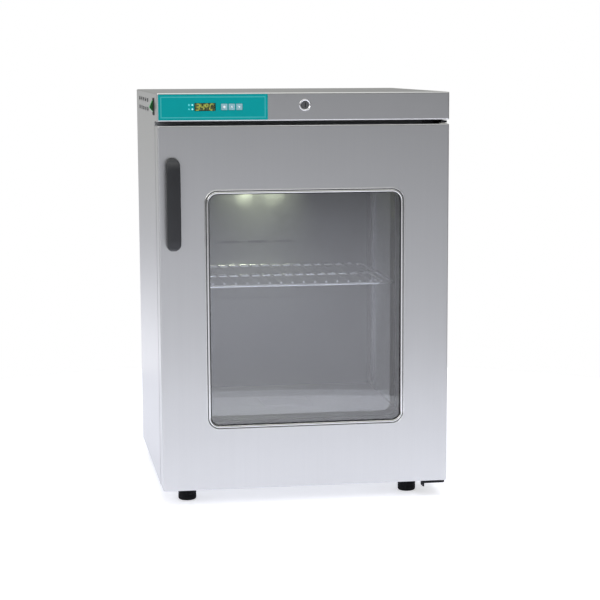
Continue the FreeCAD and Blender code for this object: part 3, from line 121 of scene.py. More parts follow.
def calculate(tree, operation, *values):
    """One sum on numbers or sockets."""
    node = tree.nodes.new("ShaderNodeMath")
    node.operation = operation
    return feed(node, dict(enumerate(values)))[0]


def span(tree, value, low, high, new_low, new_high):
    """Maps low..high to new_low..new_high and stops at both ends."""
    return add(tree, "MapRange", {"Value": value, "From Min": low, "From Max": high,
                                  "To Min": new_low, "To Max": new_high})["Result"]


def between(tree, factor, low, high):
    """low where the factor is 0 and high where it is 1: numbers, colours or colour sockets. A
    Mix node has its numbers at inputs 2 and 3, and its colours at 6 and 7."""
    blend = tree.nodes.new("ShaderNodeMix")
    if isinstance(high, float):
        return feed(blend, {0: factor, 2: low, 3: high})[0]
    blend.data_type = "RGBA"
    return feed(blend, {0: factor, 6: low, 7: high})[2]


def height_ramp(heights):
    """Brightness by the height of the direction, with the tint that belongs to the height."""
    ramp = tree.nodes.new("ShaderNodeValToRGB")
    stops = ramp.color_ramp.elements
    for height, level in heights:
        position = (height + 1) / 2
        stop = stops[0] if height == -1 else stops[-1] if height == 1 else stops.new(position)
        tint = low_tint if height < tint_height else high_tint
        stop.color = tuple(level * channel for channel in tint) + (1,)
    return feed(ramp, {"Fac": span(tree, direction["Z"], -1, 1, 0, 1)})["Color"]


direction = add(tree, "SeparateXYZ", {0: tree.nodes.new("ShaderNodeTexCoord").outputs["Generated"]})
behind = span(tree, direction["Y"], -front_to_back, front_to_back, 0, 1)
walls = between(tree, behind, height_ramp(heights_in_front), height_ramp(heights_behind))

# The screens draw the bright lines along round beads and folds.
on_screen = span(tree, calculate(tree, "ABSOLUTE", direction["X"]), screen_from, screen_to, 0, 1)
surround = between(tree, on_screen, walls, height_ramp(heights_at_sides))
strength = span(tree, direction["X"], left_x, right_x, left_strength, right_strength)
seen_in_metal, soft_light, white_surround = [
    add(tree, "Background", {"Color": colour, "Strength": level})[0]
    for colour, level in ((surround, strength), (room_colour, room_softness), ((1, 1, 1, 1), 1.0))]

# White is for what the eye meets directly or straight through glass, where the ray has passed
# glass and met no mirror. Mirrored in a pane or in metal, the room has its own levels.
ray = tree.nodes.new("ShaderNodeLightPath").outputs
not_mirrored = calculate(tree, "SUBTRACT", ray["Is Transmission Ray"], ray["Glossy Depth"])
through_glass = calculate(tree, "GREATER_THAN", not_mirrored, 0.5)
seen_directly = calculate(tree, "MAXIMUM", ray["Is Camera Ray"], through_glass)
metal_or_glass = calculate(tree, "MAXIMUM", ray["Is Glossy Ray"], ray["Is Transmission Ray"])
metal_or_soft = add(tree, "MixShader", {0: metal_or_glass, 1: soft_light, 2: seen_in_metal})[0]
direct_or_not = add(tree, "MixShader", {0: seen_directly, 1: metal_or_soft, 2: white_surround})[0]
add(tree, "OutputWorld", {"Surface": direct_or_not})

# The floor is a round pale sheet. Part of its brightness is its own, so that it reads as white,
# and the rest is lamp light, so that it keeps the soft shadow under the cabinet.
floor_radius = 1.5
floor_own_light, floor_in_metal = 0.55, 0.46
floor_colour, floor_colour_in_metal = (0.80, 0.805, 0.86, 1), (0.88, 0.895, 1.0, 1)


def new_mesh(name, bm):
    mesh = bpy.data.meshes.new(name)
    bm.to_mesh(mesh)
    bm.free()
    return mesh


bm = bmesh.new()
bmesh.ops.create_circle(bm, cap_ends=True, segments=96, radius=floor_radius)
floor_mesh = new_mesh("floor", bm)
floor = new_object("floor", floor_mesh)
floor_material = bpy.data.materials.new("pale_floor")
floor_material.use_nodes = True
tree = floor_material.node_tree
tree.nodes.clear()
ray = tree.nodes.new("ShaderNodeLightPath").outputs
seen = calculate(tree, "MAXIMUM", ray["Is Camera Ray"], ray["Is Transmission Ray"])
own, in_metal = [
    add(tree, "Emission", {"Color": colour, "Strength": calculate(tree, "MULTIPLY", share, level)})[0]
    for colour, share, level in (((1, 1, 1, 1), seen, floor_own_light),
                                 (floor_colour_in_metal, ray["Is Glossy Ray"], floor_in_metal))]
glow = add(tree, "AddShader", {0: own, 1: in_metal})[0]
lit = add(tree, "BsdfDiffuse", {"Color": floor_colour})[0]
add(tree, "OutputMaterial", {"Surface": add(tree, "AddShader", {0: lit, 1: glow})[0]})
floor_mesh.materials.append(floor_material)


# Three soft boxes light the cabinet: a wide one overhead, one at the front left, which metal
# mirrors too, and a weaker one at the right.
cabinet_middle = Vector((0, 0, 0.4))


def aimed_light(name, kind, place, target, watts, colour):
    data = bpy.data.lights.new(name, kind)
    data.energy, data.color = watts, colour
    light = new_object(name, data)
    light.location = place
    light.rotation_euler = (Vector(target) - Vector(place)).to_track_quat("-Z", "Y").to_euler()
    return light


for name, place, width, height, watts, colour, mirrored in (
        ("overhead", (0.2, -0.6, 3.2), 2.6, 2.2, 42.0, (1.0, 0.99, 0.98), False),
        ("front_left", (-2.3, -3.0, 2.2), 1.6, 1.6, 26.0, (1.0, 0.99, 0.97), True),
        ("right", (2.6, -1.8, 1.8), 1.4, 1.6, 14.0, (0.96, 0.98, 1.0), False)):
    soft_box = aimed_light(name, "AREA", place, cabinet_middle, watts, colour)
    soft_box.data.shape = "RECTANGLE"
    soft_box.data.size, soft_box.data.size_y = width, height
    soft_box.visible_glossy = mirrored


# ---------------------------------------------------------------- outer sheets
# The wrapper (sides and top), the fascia and the door skin are folded from 1 mm brushed
# stainless sheet. The grain runs upright on the door and sides and across on the fascia.
steel_colour, steel_roughness = (0.66, 0.666, 0.668), 0.28
upright_streaks = (620.0, 620.0, 7.0)      # noise cells per metre on each axis
level_streaks = (7.0, 620.0, 620.0)
broad_scale, broad_share = 0.13, 0.4       # of the fine streaks' scale, and of the whole
clouds_per_metre, cloud_dulling = 5.5, 0.04


def pattern_group(name, inputs, outputs):
    """A node group for a pattern, with its input and output nodes."""
    group = bpy.data.node_groups.new(name, "ShaderNodeTree")
    for title, kind, value in inputs:
        socket = group.interface.new_socket(title, in_out="INPUT", socket_type=kind)
        socket.default_value = value
    for title, kind in outputs:
        group.interface.new_socket(title, in_out="OUTPUT", socket_type=kind)
    return group, group.nodes.new("NodeGroupInput"), group.nodes.new("NodeGroupOutput")


def noise(tree, vector, scale, detail, roughness=0.5):
    return add(tree, "TexNoise", {"Vector": vector, "Scale": scale, "Detail": detail,
                                  "Roughness": roughness})["Fac"]


# Streaks of the brushing belt, and the faint clouds that hands and cloths leave on steel.
brushing, brushing_in, brushing_out = pattern_group(
    "brushing",
    [("Stretch", "NodeSocketVector", (1.0, 1.0, 1.0))],
    [("Streak", "NodeSocketFloat"), ("Cloud", "NodeSocketFloat")])
here = brushing.nodes.new("ShaderNodeTexCoord").outputs["Object"]
stretching = brushing.nodes.new("ShaderNodeVectorMath")
stretching.operation = "MULTIPLY"
stretched = feed(stretching, {0: here, 1: brushing_in.outputs["Stretch"]})[0]
fine = noise(brushing, stretched, 1.0, 3.0, 0.62)
broad = noise(brushing, stretched, broad_scale, 2.0)
streak = calculate(brushing, "MULTIPLY_ADD", broad, broad_share,
                   calculate(brushing, "MULTIPLY", fine, 1 - broad_share))
feed(brushing_out, {"Streak": streak, "Cloud": noise(brushing, here, clouds_per_metre, 4.0, 0.55)})


def use_group(tree, group, values):
    """Places the group in a material with its own values, and gives its outputs."""
    node = tree.nodes.new("ShaderNodeGroup")
    node.node_tree = group
    return feed(node, values)


def shade(colour, by):
    """The colour made lighter or darker, with its alpha added."""
    return tuple(min(1.0, channel * by) for channel in colour) + (1.0,)


def raise_surface(tree, shader, height, depth):
    """Bump from a height of 0 to 1, over a depth in metres."""
    feed(shader, {"Normal": add(tree, "Bump", {"Distance": depth, "Height": height})["Normal"]})


def new_material(name):
    material = bpy.data.materials.new(name)
    material.use_nodes = True
    return material, material.node_tree, material.node_tree.nodes["Principled BSDF"]


def brushed(name, colour, roughness, streaks, depth=0.000004, contrast=0.03):
    """Brushed, turned or rolled metal. streaks are per metre, on each axis or on all alike, and
    depth is theirs in metres."""
    material, tree, shader = new_material(name)
    if isinstance(streaks, float):
        streaks = (streaks, streaks, streaks)
    grain = use_group(tree, brushing, {"Stretch": streaks})
    metal = between(tree, grain["Streak"], shade(colour, 1 - contrast), shade(colour, 1 + contrast))
    clean = between(tree, grain["Streak"], roughness + contrast, roughness - contrast)
    dulled = calculate(tree, "MULTIPLY_ADD", grain["Cloud"], cloud_dulling, clean)
    feed(shader, {"Metallic": 1.0, "Base Color": metal, "Roughness": dulled})
    raise_surface(tree, shader, grain["Streak"], depth)
    return material


def finish(material, *names):
    """Gives the CAD nodes this material. Their meshes stay as they are."""
    for name in names:
        for slot in nodes[name].material_slots:
            slot.material = material


finish(brushed("upright_steel", steel_colour, steel_roughness, upright_streaks),
       "door_skin", "outer_wrapper")
finish(brushed("fascia_steel", steel_colour, steel_roughness, level_streaks), "fascia_panel")


# ---------------------------------------------------------------- chamber
# The chamber is an inner box of thinner stainless sheet with a duller mill finish, coloured far
# darker than that steel is: painted shade inside the chamber. Its floor and rear duct are
# perforated panels, and slotted pilasters stand on its side walls.
mill_streaks, mill_depth = (240.0, 240.0, 5.0), 0.00001
finish(brushed("liner_steel", (0.25, 0.255, 0.25), 0.46, mill_streaks, mill_depth, contrast=0.06),
       "chamber_liner", "duct_panel")
finish(brushed("floor_panel_steel", (0.62, 0.62, 0.64), 0.40, mill_streaks, mill_depth, contrast=0.05),
       "floor_panel")
finish(brushed("pilaster_steel", (0.74, 0.74, 0.75), 0.20, upright_streaks), "shelf_pilasters")
finish(brushed("inner_door_steel", (0.52, 0.525, 0.52), 0.36, upright_streaks), "door_inner_panel")


# ---------------------------------------------------------------- zinc-coated sheets
# The base pan, the back panel, the electronics tray and the power supply's case are
# galvanised steel, which shows faint spangles of dull and bright zinc.
zinc_colour = (0.56, 0.575, 0.585)
spangles_per_metre, spangle_depth = 130.0, 0.000004

spangle, spangle_in, spangle_out = pattern_group(
    "zinc_spangle",
    [("Cells per metre", "NodeSocketFloat", spangles_per_metre)],
    [("Spangle", "NodeSocketFloat")])
here = spangle.nodes.new("ShaderNodeTexCoord").outputs["Object"]
cells = add(spangle, "TexVoronoi", {"Vector": here, "Scale": spangle_in.outputs["Cells per metre"]})
feed(spangle_out, {"Spangle": add(spangle, "SeparateColor", {"Color": cells["Color"]})["Red"]})

galvanised, tree, shader = new_material("galvanised_sheet")
flake = use_group(tree, spangle, {})["Spangle"]
zinc = between(tree, flake, shade(zinc_colour, 0.94), shade(zinc_colour, 1.04))
feed(shader, {"Metallic": 1.0, "Base Color": zinc, "Roughness": between(tree, flake, 0.40, 0.47)})
raise_surface(tree, shader, flake, spangle_depth)
finish(galvanised, "base_pan", "back_panel", "electronics_tray", "power_supply")


# ---------------------------------------------------------------- front frame
# Dark grey moulded frame round the chamber's mouth, which the gasket closes on. Every plastic
# part has the fine spark-eroded grain of its mould and slightly uneven gloss.
blotches_per_metre = 24.0
mould_tone_change = 0.08

moulding, moulding_in, moulding_out = pattern_group(
    "mould_grain",
    [("Grains per metre", "NodeSocketFloat", 1500.0)],
    [("Grain", "NodeSocketFloat"), ("Cloud", "NodeSocketFloat")])
here = moulding.nodes.new("ShaderNodeTexCoord").outputs["Object"]
feed(moulding_out, {"Grain": noise(moulding, here, moulding_in.outputs["Grains per metre"], 2.0),
                    "Cloud": noise(moulding, here, blotches_per_metre, 3.0)})


def moulded(name, colour, roughness, grains_per_metre=1500.0, depth=0.00003, gloss=0.5):
    """Plastic or rubber. gloss is the strength of its mirror part, 0.5 for most plastics."""
    material, tree, shader = new_material(name)
    texture = use_group(tree, moulding, {"Grains per metre": grains_per_metre})
    plastic = between(tree, texture["Cloud"], shade(colour, 1 - mould_tone_change),
                      shade(colour, 1 + mould_tone_change))
    feed(shader, {"Specular IOR Level": gloss, "Base Color": plastic,
                  "Roughness": between(tree, texture["Cloud"], roughness - 0.05, roughness + 0.07)})
    raise_surface(tree, shader, texture["Grain"], depth)
    return material


finish(moulded("frame_plastic", (0.23, 0.236, 0.245), 0.45), "front_frame")


# ---------------------------------------------------------------- window
# Two panes with a dark spacer between them, a black rubber strip round the outer pane, and a
# bright trim on the door's face: a thin outer lip, a flat channel holding a painted dark
# reflection, and a round bead.
trim_radius = 0.027
lip_half, lip_end_angle = 0.0011, 20         # the lip is a round edge that ends this steeply
shade_band_from, shade_band_to = 0.0024, 0.0035    # from the trim's outer edge
bead_middle, bead_half = 0.0063, 0.0024
flat_height, channel_height = 0.0007, 0.0002    # above the door's face
trim_foot = 0.0089
corner_steps = 10
tolerance = 0.00001
pane_tint, pane_index = (0.90, 0.912, 0.935, 1), 1.72    # coated panes mirror more than plain ones


def frame_ring(bm, section, centre, size, radius):
    """Draws a closed section of (inset, y) points along four sides and round four corners."""
    across, up = size[0] / 2 - radius, size[1] / 2 - radius
    turns = [Vector((centre[0] + x, 0, centre[1] + z)) for x, z in
             ((across, up), (across, -up), (-across, -up), (-across, up))]
    verts = [bm.verts.new((centre[0] - across, y, centre[1] + up + radius - inset))
             for inset, y in section]
    edges = [bm.edges.new(pair) for pair in zip(verts, verts[1:] + verts[:1])]
    for before, turn in zip(turns[-1:] + turns, turns):
        grown = bmesh.ops.extrude_edge_only(bm, edges=edges)["geom"]
        rim = [part for part in grown if not isinstance(part, bmesh.types.BMFace)]
        bmesh.ops.translate(bm, vec=turn - before,
                            verts=[part for part in rim if isinstance(part, bmesh.types.BMVert)])
        rounded = bmesh.ops.spin(bm, geom=rim, cent=turn, axis=(0, 1, 0), dvec=(0, 0, 0),
                                 angle=math.radians(90), steps=corner_steps)["geom_last"]
        edges = [part for part in rounded if isinstance(part, bmesh.types.BMEdge)]


def piece_of(bm, name, *materials, sharp=35):
    """Makes the shape an object with faces outwards and soft shading up to the sharp angle."""
    bmesh.ops.remove_doubles(bm, verts=bm.verts, dist=0.000001)
    bmesh.ops.recalc_face_normals(bm, faces=bm.faces)
    mesh = new_mesh(name, bm)
    mesh.shade_smooth()
    mesh.set_sharp_from_angle(angle=math.radians(sharp))
    for material in materials:
        mesh.materials.append(material)
    return new_object(name, mesh)


def arc(middle, radius, start, end, steps):
    """Points (across, along) on an arc, angles in degrees."""
    angles = [math.radians(start + (end - start) * step / steps) for step in range(steps + 1)]
    return [(middle[0] + radius * math.cos(angle), middle[1] + radius * math.sin(angle))
            for angle in angles]


def front_view(low, high):
    """Middle and size of a box, both as (x, z)."""
    return ((low.x + high.x) / 2, (low.z + high.z) / 2), (high.x - low.x, high.z - low.z)


low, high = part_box("window_trim")
door_face = high.y
bead_rise = (high.y - low.y - flat_height) / bead_half
bead = [(across, door_face - flat_height - rise * bead_rise)
        for across, rise in arc((bead_middle, 0), bead_half, 180, 0, 10)]
lip = [(across, door_face - rise)
       for across, rise in arc((lip_half, 0), lip_half, 180, lip_end_angle, 6)]
channel_face = door_face - channel_height
section = lip + [(shade_band_from, channel_face), (shade_band_to, channel_face)] + bead + [(trim_foot, door_face)]
bm = bmesh.new()
frame_ring(bm, section, *front_view(low, high), trim_radius)
# The flat channel between the lip and the bead gets a near-black material: a painted dark reflection.
for face in bm.faces:
    if all(abs(vert.co.y - channel_face) < tolerance for vert in face.verts):
        face.material_index = 1
trim_metal = brushed("trim_metal", (0.72, 0.725, 0.72), 0.12, 260.0, depth=0.000002, contrast=0.02)
channel_shade = moulded("trim_painted_shade", (0.03, 0.03, 0.032), 0.5)
trim = piece_of(bm, "window_trim_bead", trim_metal, channel_shade)
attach(trim, "door")
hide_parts("window_trim")

finish(moulded("window_rubber", (0.014, 0.014, 0.016), 0.55, 900.0), "window_seal")
finish(moulded("spacer_plastic", (0.10, 0.104, 0.11), 0.5), "window_reveal")
pane_glass, tree, shader = new_material("pane_glass")
feed(shader, {"Base Color": pane_tint, "Transmission Weight": 1.0, "Roughness": 0.0,
              "IOR": pane_index})
finish(pane_glass, "outer_glass", "inner_glass")


# ---------------------------------------------------------------- door gasket
# Soft magnetic seal in a groove round the back of the door: a flat foot, a bellows on each
# side and a flat face that the magnet inside it pulls on to the front frame.
gasket_radius = 0.015
low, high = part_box("door_gasket")
gasket_width, gasket_depth = 0.013, high.y - low.y
# Half the section as shares of the width and the depth: foot, fold of the bellows, flat face.
half_section = [(0.0, 0.0), (0.0, 0.20), (0.12, 0.34), (0.03, 0.56), (0.12, 0.90), (0.22, 1.0)]
half_section = [(across * gasket_width, low.y + out * gasket_depth) for across, out in half_section]
section = half_section + [(gasket_width - across, y) for across, y in reversed(half_section)]
bm = bmesh.new()
frame_ring(bm, section, *front_view(low, high), gasket_radius)
gasket_rubber = moulded("gasket_rubber", (0.07, 0.072, 0.078), 0.6, 900.0)
gasket = piece_of(bm, "door_gasket_bellows", gasket_rubber)
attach(gasket, "door")
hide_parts("door_gasket")


# ---------------------------------------------------------------- handle
# Moulded bow in dark plastic, screwed on from inside the door. Its front has a broad bevel
# all round and its ends are round.
rim_bevel = 0.0030
plain_foot = 0.002                   # how far out from the door its edges stay sharp
front_facing = -0.25                 # a face counts as the front when its normal's y is below this


def merged_copy(name):
    """A CAD solid's mesh as whole faces, ready to be worked on."""
    bm = bmesh.new()
    bm.from_mesh(nodes[name].data)
    bmesh.ops.remove_doubles(bm, verts=bm.verts, dist=0.000002)
    bmesh.ops.dissolve_limit(bm, angle_limit=math.radians(0.5), verts=bm.verts, edges=bm.edges)
    return bm


def soften(bm, edges, width, steps=3):
    bmesh.ops.bevel(bm, geom=edges, offset=width, offset_type="OFFSET", affect="EDGES",
                    segments=steps, profile=0.5, material=-1, clamp_overlap=True)


def sharp_edges(bm, angle=35):
    return [edge for edge in bm.edges
            if edge.is_manifold and edge.calc_face_angle(0) > math.radians(angle)]


low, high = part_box("handle")
bm = merged_copy("handle")
rim = [edge for edge in sharp_edges(bm)
       if all(vert.co.y < high.y - plain_foot for vert in edge.verts)
       and any(face.normal.y < front_facing for face in edge.link_faces)]
soften(bm, rim, rim_bevel, 4)
handle_plastic = moulded("handle_plastic", (0.028, 0.029, 0.032), 0.36, 1800.0, gloss=0.35)
handle = piece_of(bm, "handle_bow", handle_plastic, sharp=50)
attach(handle, "door")
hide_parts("handle")


# ---------------------------------------------------------------- control strip
# Printed polyester film, stuck on the left of the fascia round the display, the lamps and the
# keys. It is teal, with a paler line just inside its edge.
strip_colour = (0.001, 0.318, 0.332)
line_colour = (0.055, 0.430, 0.445)
line_inset, line_width = 0.0054, 0.0022
film_grain_depth = 0.000008

low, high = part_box("control_strip")
strip_middle, strip_size = front_view(low, high)
film, tree, shader = new_material("strip_film")
place = add(tree, "SeparateXYZ", {0: tree.nodes.new("ShaderNodeTexCoord").outputs["Object"]})
distances = []
for axis, middle, size in zip("XZ", strip_middle, strip_size):
    from_middle = calculate(tree, "ABSOLUTE", calculate(tree, "SUBTRACT", place[axis], middle))
    distances.append(calculate(tree, "SUBTRACT", size / 2, from_middle))
from_edge = calculate(tree, "MINIMUM", distances[0], distances[1])
off_line = calculate(tree, "ABSOLUTE", calculate(tree, "SUBTRACT", from_edge, line_inset))
on_line = calculate(tree, "LESS_THAN", off_line, line_width / 2)
texture = use_group(tree, moulding, {"Grains per metre": 2600.0})
ink = between(tree, texture["Cloud"], shade(strip_colour, 0.95), shade(strip_colour, 1.05))
feed(shader, {"Specular IOR Level": 0.10,
              "Base Color": between(tree, on_line, ink, (*line_colour, 1.0)),
              "Roughness": between(tree, texture["Cloud"], 0.34, 0.44)})
raise_surface(tree, shader, texture["Grain"], film_grain_depth)
finish(film, "control_strip")


# ---------------------------------------------------------------- display
# Seven-segment bars, lit yellow, on a dull green block behind a smoky window in the strip. They
# read 34 and the degree sign with a C, and lean a little.
digit_height, digit_width, digit_pitch = 0.0118, 0.0066, 0.0094
degree_width, digits_inset = 0.0048, 0.0022
bar_width, bar_depth, bar_gap = 0.0015, 0.0003, 0.0003
point_cut = 0.49                     # of the bar's width, just short of where the cuts would meet
digit_lean = math.tan(math.radians(7))
digit_glow, lamp_glow = 1.25, 0.6

low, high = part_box("display_module")
digits_left, digits_middle = low.x + digits_inset, (low.z + high.z) / 2
half_height = digit_height / 2
bm = bmesh.new()


def stood_up(x, y, z, turn):
    """Stands a flat shape up to face the front at (x, y, z), turned by an angle in degrees."""
    return (Matrix.Translation((x, y, z)) @ Matrix.Rotation(math.radians(90), 4, "X")
            @ Matrix.Rotation(math.radians(turn), 4, "Z"))


def push(bm, faces, way, keep=False):
    """Extrudes faces along the vector way and gives what that made."""
    made = bmesh.ops.extrude_face_region(bm, geom=faces, use_keep_orig=keep)["geom"]
    bmesh.ops.translate(bm, vec=way,
                        verts=[part for part in made if isinstance(part, bmesh.types.BMVert)])
    return made


def lit_bar(bm, x, z, length, turn):
    """One bar with pointed ends. (x, z) is its middle, from the display's own middle height."""
    known = set(bm.faces)
    bmesh.ops.create_grid(bm, x_segments=1, y_segments=1, size=0.5)
    face = next(face for face in bm.faces if face not in known)
    bmesh.ops.scale(bm, vec=(length - 2 * bar_gap, bar_width, 1), verts=face.verts)
    bmesh.ops.bevel(bm, geom=list(face.verts), offset=bar_width * point_cut, offset_type="OFFSET",
                    affect="VERTICES", segments=1, profile=0.5, material=-1)
    face = next(face for face in bm.faces if face not in known)
    bmesh.ops.transform(bm, matrix=stood_up(x, low.y, z, turn), verts=face.verts)
    push(bm, [face], (0, -bar_depth, 0))


# a is the top bar, b and c stand at the right, d is the bottom bar, e and f stand at the left
# and g lies across the middle.
for place, (letters, width) in enumerate((("abgcd", digit_width), ("fgbc", digit_width),
                                          ("abgf", degree_width), ("afed", digit_width))):
    left = digits_left + place * digit_pitch
    middle, right = left + width / 2, left + width
    upper, lower = half_height / 2, -half_height / 2
    bars = {"a": (middle, half_height, width, 0),
            "b": (right, upper, half_height, 90),
            "c": (right, lower, half_height, 90),
            "d": (middle, -half_height, width, 0),
            "e": (left, lower, half_height, 90),
            "f": (left, upper, half_height, 90),
            "g": (middle, 0, width, 0)}
    for letter in letters:
        lit_bar(bm, *bars[letter])
leaning = Matrix.Identity(4)
leaning[0][2] = digit_lean
bmesh.ops.transform(bm, matrix=Matrix.Translation((0, 0, digits_middle)) @ leaning, verts=bm.verts)


def glowing(name, colour, glow, dim, bright, grains_per_metre, roughness=0.5):
    """Lit plastic with a colour of its own and a glow that varies a little from dim to bright."""
    material, tree, shader = new_material(name)
    grain = use_group(tree, moulding, {"Grains per metre": grains_per_metre})["Grain"]
    feed(shader, {"Base Color": colour, "Roughness": roughness, "Emission Strength": glow,
                  "Emission Color": between(tree, grain, dim, bright)})
    return material


lit_bars = glowing("lit_yellow", (0.26, 0.30, 0.06, 1), digit_glow,
                   (0.66, 0.72, 0.12, 1.0), (0.80, 0.88, 0.20, 1.0), 900.0)
digits = piece_of(bm, "display_digits", lit_bars)
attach(digits, "cabinet")

finish(moulded("digit_block", (0.33, 0.40, 0.20), 0.5), "display_module")
smoky_lens, tree, shader = new_material("smoky_lens")
feed(shader, {"Base Color": (0.52, 0.53, 0.50, 1), "Transmission Weight": 1.0, "Roughness": 0.03})
finish(smoky_lens, "display_window")
finish(glowing("status_light", (0.35, 0.75, 0.78, 1), lamp_glow,
               (0.35, 0.92, 0.95, 1.0), (0.50, 1.0, 1.0, 1.0), 700.0), "status_lamps")

# Two small marks are printed on the strip beside the status lamps: a diamond and an arrow head.
mark_radius, ink_thickness, mark_gap = 0.0023, 0.00004, 0.0054
low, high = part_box("status_lamps")
bm = bmesh.new()
for corners, up in ((4, high.z - (high.x - low.x) / 2), (3, low.z + (high.x - low.x) / 2)):
    for face in bm.faces:
        face.tag = True
    bmesh.ops.create_circle(bm, cap_ends=True, segments=corners, radius=mark_radius,
                            matrix=stood_up(low.x - mark_gap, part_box("control_strip")[0].y, up, 0))
    push(bm, [face for face in bm.faces if not face.tag], (0, -ink_thickness, 0), keep=True)
marks = piece_of(bm, "strip_marks", moulded("strip_ink", (0.12, 0.74, 0.78), 0.5, gloss=0.1))
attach(marks, "cabinet")


# ---------------------------------------------------------------- keys
# Three pale square keys with softly dished caps, moulded on square stems that reach the green
# control board. A dot, an up arrow and a down arrow, in white, stand slightly proud of them.
cap_thickness, cap_radius, cap_softening = 0.0028, 0.0014, 0.0005
dish_inset, dish_depth = 0.0012, 0.0002
stem_width = 0.005
mark_reach, mark_thickness = 0.0023, 0.0005
mark_proud = 0.00012                 # of the cap's rim


def upright_outline(bm, centre, size, radius, y):
    """Face with rounded corners that stands across the y axis. centre and size are (x, z)."""
    for face in bm.faces:
        face.tag = True
    sheet = bmesh.ops.create_grid(bm, x_segments=1, y_segments=1, size=0.5)["verts"]
    stand = stood_up(centre[0], y, centre[1], 0) @ Matrix.Diagonal((size[0], size[1], 1, 1))
    bmesh.ops.transform(bm, matrix=stand, verts=sheet)
    bmesh.ops.bevel(bm, geom=sheet, offset=radius, offset_type="OFFSET", affect="VERTICES",
                    segments=corner_steps, profile=0.5, material=-1)
    return next(face for face in bm.faces if not face.tag)


key_material = moulded("key_plastic", (0.27, 0.49, 0.55), 0.42, gloss=0.3)
mark_material = moulded("key_mark", (0.93, 0.97, 0.98), 0.4)

for name, corners, turn in (("set_key", 20, 0), ("up_key", 3, 0), ("down_key", 3, 180)):
    low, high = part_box(name)
    middle, size = front_view(low, high)
    bm = bmesh.new()
    face = upright_outline(bm, middle, size, cap_radius, low.y + cap_thickness)
    raised = push(bm, [face], (0, mark_proud - cap_thickness, 0))
    front = next(part for part in raised if isinstance(part, bmesh.types.BMFace))
    soften(bm, list(front.edges), cap_softening)
    front = min(bm.faces, key=lambda face: face.calc_center_median().y)
    bmesh.ops.inset_region(bm, faces=[front], thickness=dish_inset, depth=-dish_depth)
    stem = bmesh.ops.create_cube(bm, size=1.0)["verts"]
    stem_depth = high.y - low.y - cap_thickness
    stem_place = Matrix.Translation((middle[0], high.y - stem_depth / 2, middle[1]))
    bmesh.ops.transform(bm, verts=stem,
                        matrix=stem_place @ Matrix.Diagonal((stem_width, stem_depth, stem_width, 1)))
    known = len(bm.faces)
    mark = bmesh.ops.create_circle(bm, cap_ends=True, segments=corners, radius=mark_reach)["verts"]
    bmesh.ops.transform(bm, matrix=stood_up(middle[0], low.y + mark_thickness, middle[1], turn),
                        verts=mark)
    bm.faces.ensure_lookup_table()
    push(bm, [bm.faces[-1]], (0, -mark_thickness, 0))
    bm.faces.ensure_lookup_table()
    for face in bm.faces[known:]:
        face.material_index = 1
    key = piece_of(bm, name + "_cap", key_material, mark_material)
    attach(key, name)
    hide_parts(name)
finish(moulded("board_green", (0.02, 0.16, 0.07), 0.4), "control_board")


# ---------------------------------------------------------------- key lock
# Chromed ring with a hollow face and a threaded barrel, turned from bar and held by a nut
# behind the fascia. The darker plug with its keyhole turns inside it.
barrel_radius, thread_pitch, thread_depth = 0.0095, 0.0012, 0.0004
ring_round = 0.0016                  # of the ring's front edge
funnel_width, funnel_front, funnel_back = 0.0012, 0.0011, 0.0016
plug_play = 0.00005
thread_clear = 0.001                 # plain barrel before the first turn


def turned(bm, profile, centre, axis, side, steps=48):
    """Turns a line of (radius, along) points once round the axis."""
    axis, side = Vector(axis), Vector(side)
    verts = [bm.verts.new(Vector(centre) + side * radius + axis * along) for radius, along in profile]
    edges = [bm.edges.new(pair) for pair in zip(verts, verts[1:])]
    bmesh.ops.spin(bm, geom=verts + edges, cent=centre, axis=axis, dvec=(0, 0, 0),
                   angle=math.radians(360), steps=steps, use_merge=True)


low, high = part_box("lock_housing")
lock_length = high.y - low.y
ring_radius, ring_proud = (high.x - low.x) / 2, door_face - low.y
plug_low, plug_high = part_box("lock_plug")
bore_radius = (plug_high.x - plug_low.x) / 2 + plug_play
profile = [(bore_radius, lock_length), (bore_radius, funnel_back),
           (bore_radius + funnel_width, funnel_front)]
profile += arc((ring_radius - ring_round, ring_round), ring_round, -120, 0, 8)
profile += [(ring_radius, ring_proud), (barrel_radius, ring_proud)]
threads = int((high.y - door_face - 2 * thread_clear) / thread_pitch)
for thread in range(threads):
    start = ring_proud + thread_clear + thread * thread_pitch
    profile += [(barrel_radius, start), (barrel_radius - thread_depth, start + thread_pitch / 2)]
profile += [(barrel_radius - thread_depth, lock_length), (bore_radius, lock_length)]
bm = bmesh.new()
lock_middle = Vector(((low.x + high.x) / 2, low.y, (low.z + high.z) / 2))
shaded_funnel_reach = bore_radius + 0.0013  # the funnel inside this is as dark as the plug
turned(bm, profile, lock_middle, (0, 1, 0), (1, 0, 0), 64)
# The chrome funnel round the bore gets the plug's dark steel: painted shade in the recess.
for face in bm.faces:
    if (face.calc_center_median() - lock_middle).length < shaded_funnel_reach:
        face.material_index = 1
plug_steel = brushed("plug_steel", (0.22, 0.225, 0.23), 0.30, 900.0)
chrome = brushed("chrome", (0.84, 0.84, 0.85), 0.10, 400.0, depth=0.000001, contrast=0.01)
ring = piece_of(bm, "lock_ring", chrome, plug_steel)
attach(ring, "cabinet")
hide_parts("lock_housing")
finish(plug_steel, "lock_plug")
finish(brushed("stamped_steel", (0.50, 0.51, 0.52), 0.34, (500.0, 500.0, 60.0)),
       "lock_cam", "lock_nut", "lock_keeper")


# ---------------------------------------------------------------- power switch
# Green rocker on its cross axle in a black snap-in housing in the left side. A lamp lights its
# faces from inside. Its ends are given a darker green, which is painted shade.
rocker_softening, bezel_softening = 0.0006, 0.0005
rocker_glow = 0.16
end_facing = 0.7                     # a face is an end when its normal's y, either way, is above this
bezel_behind = -0.2995               # the housing's part outside the cabinet's side has lower x

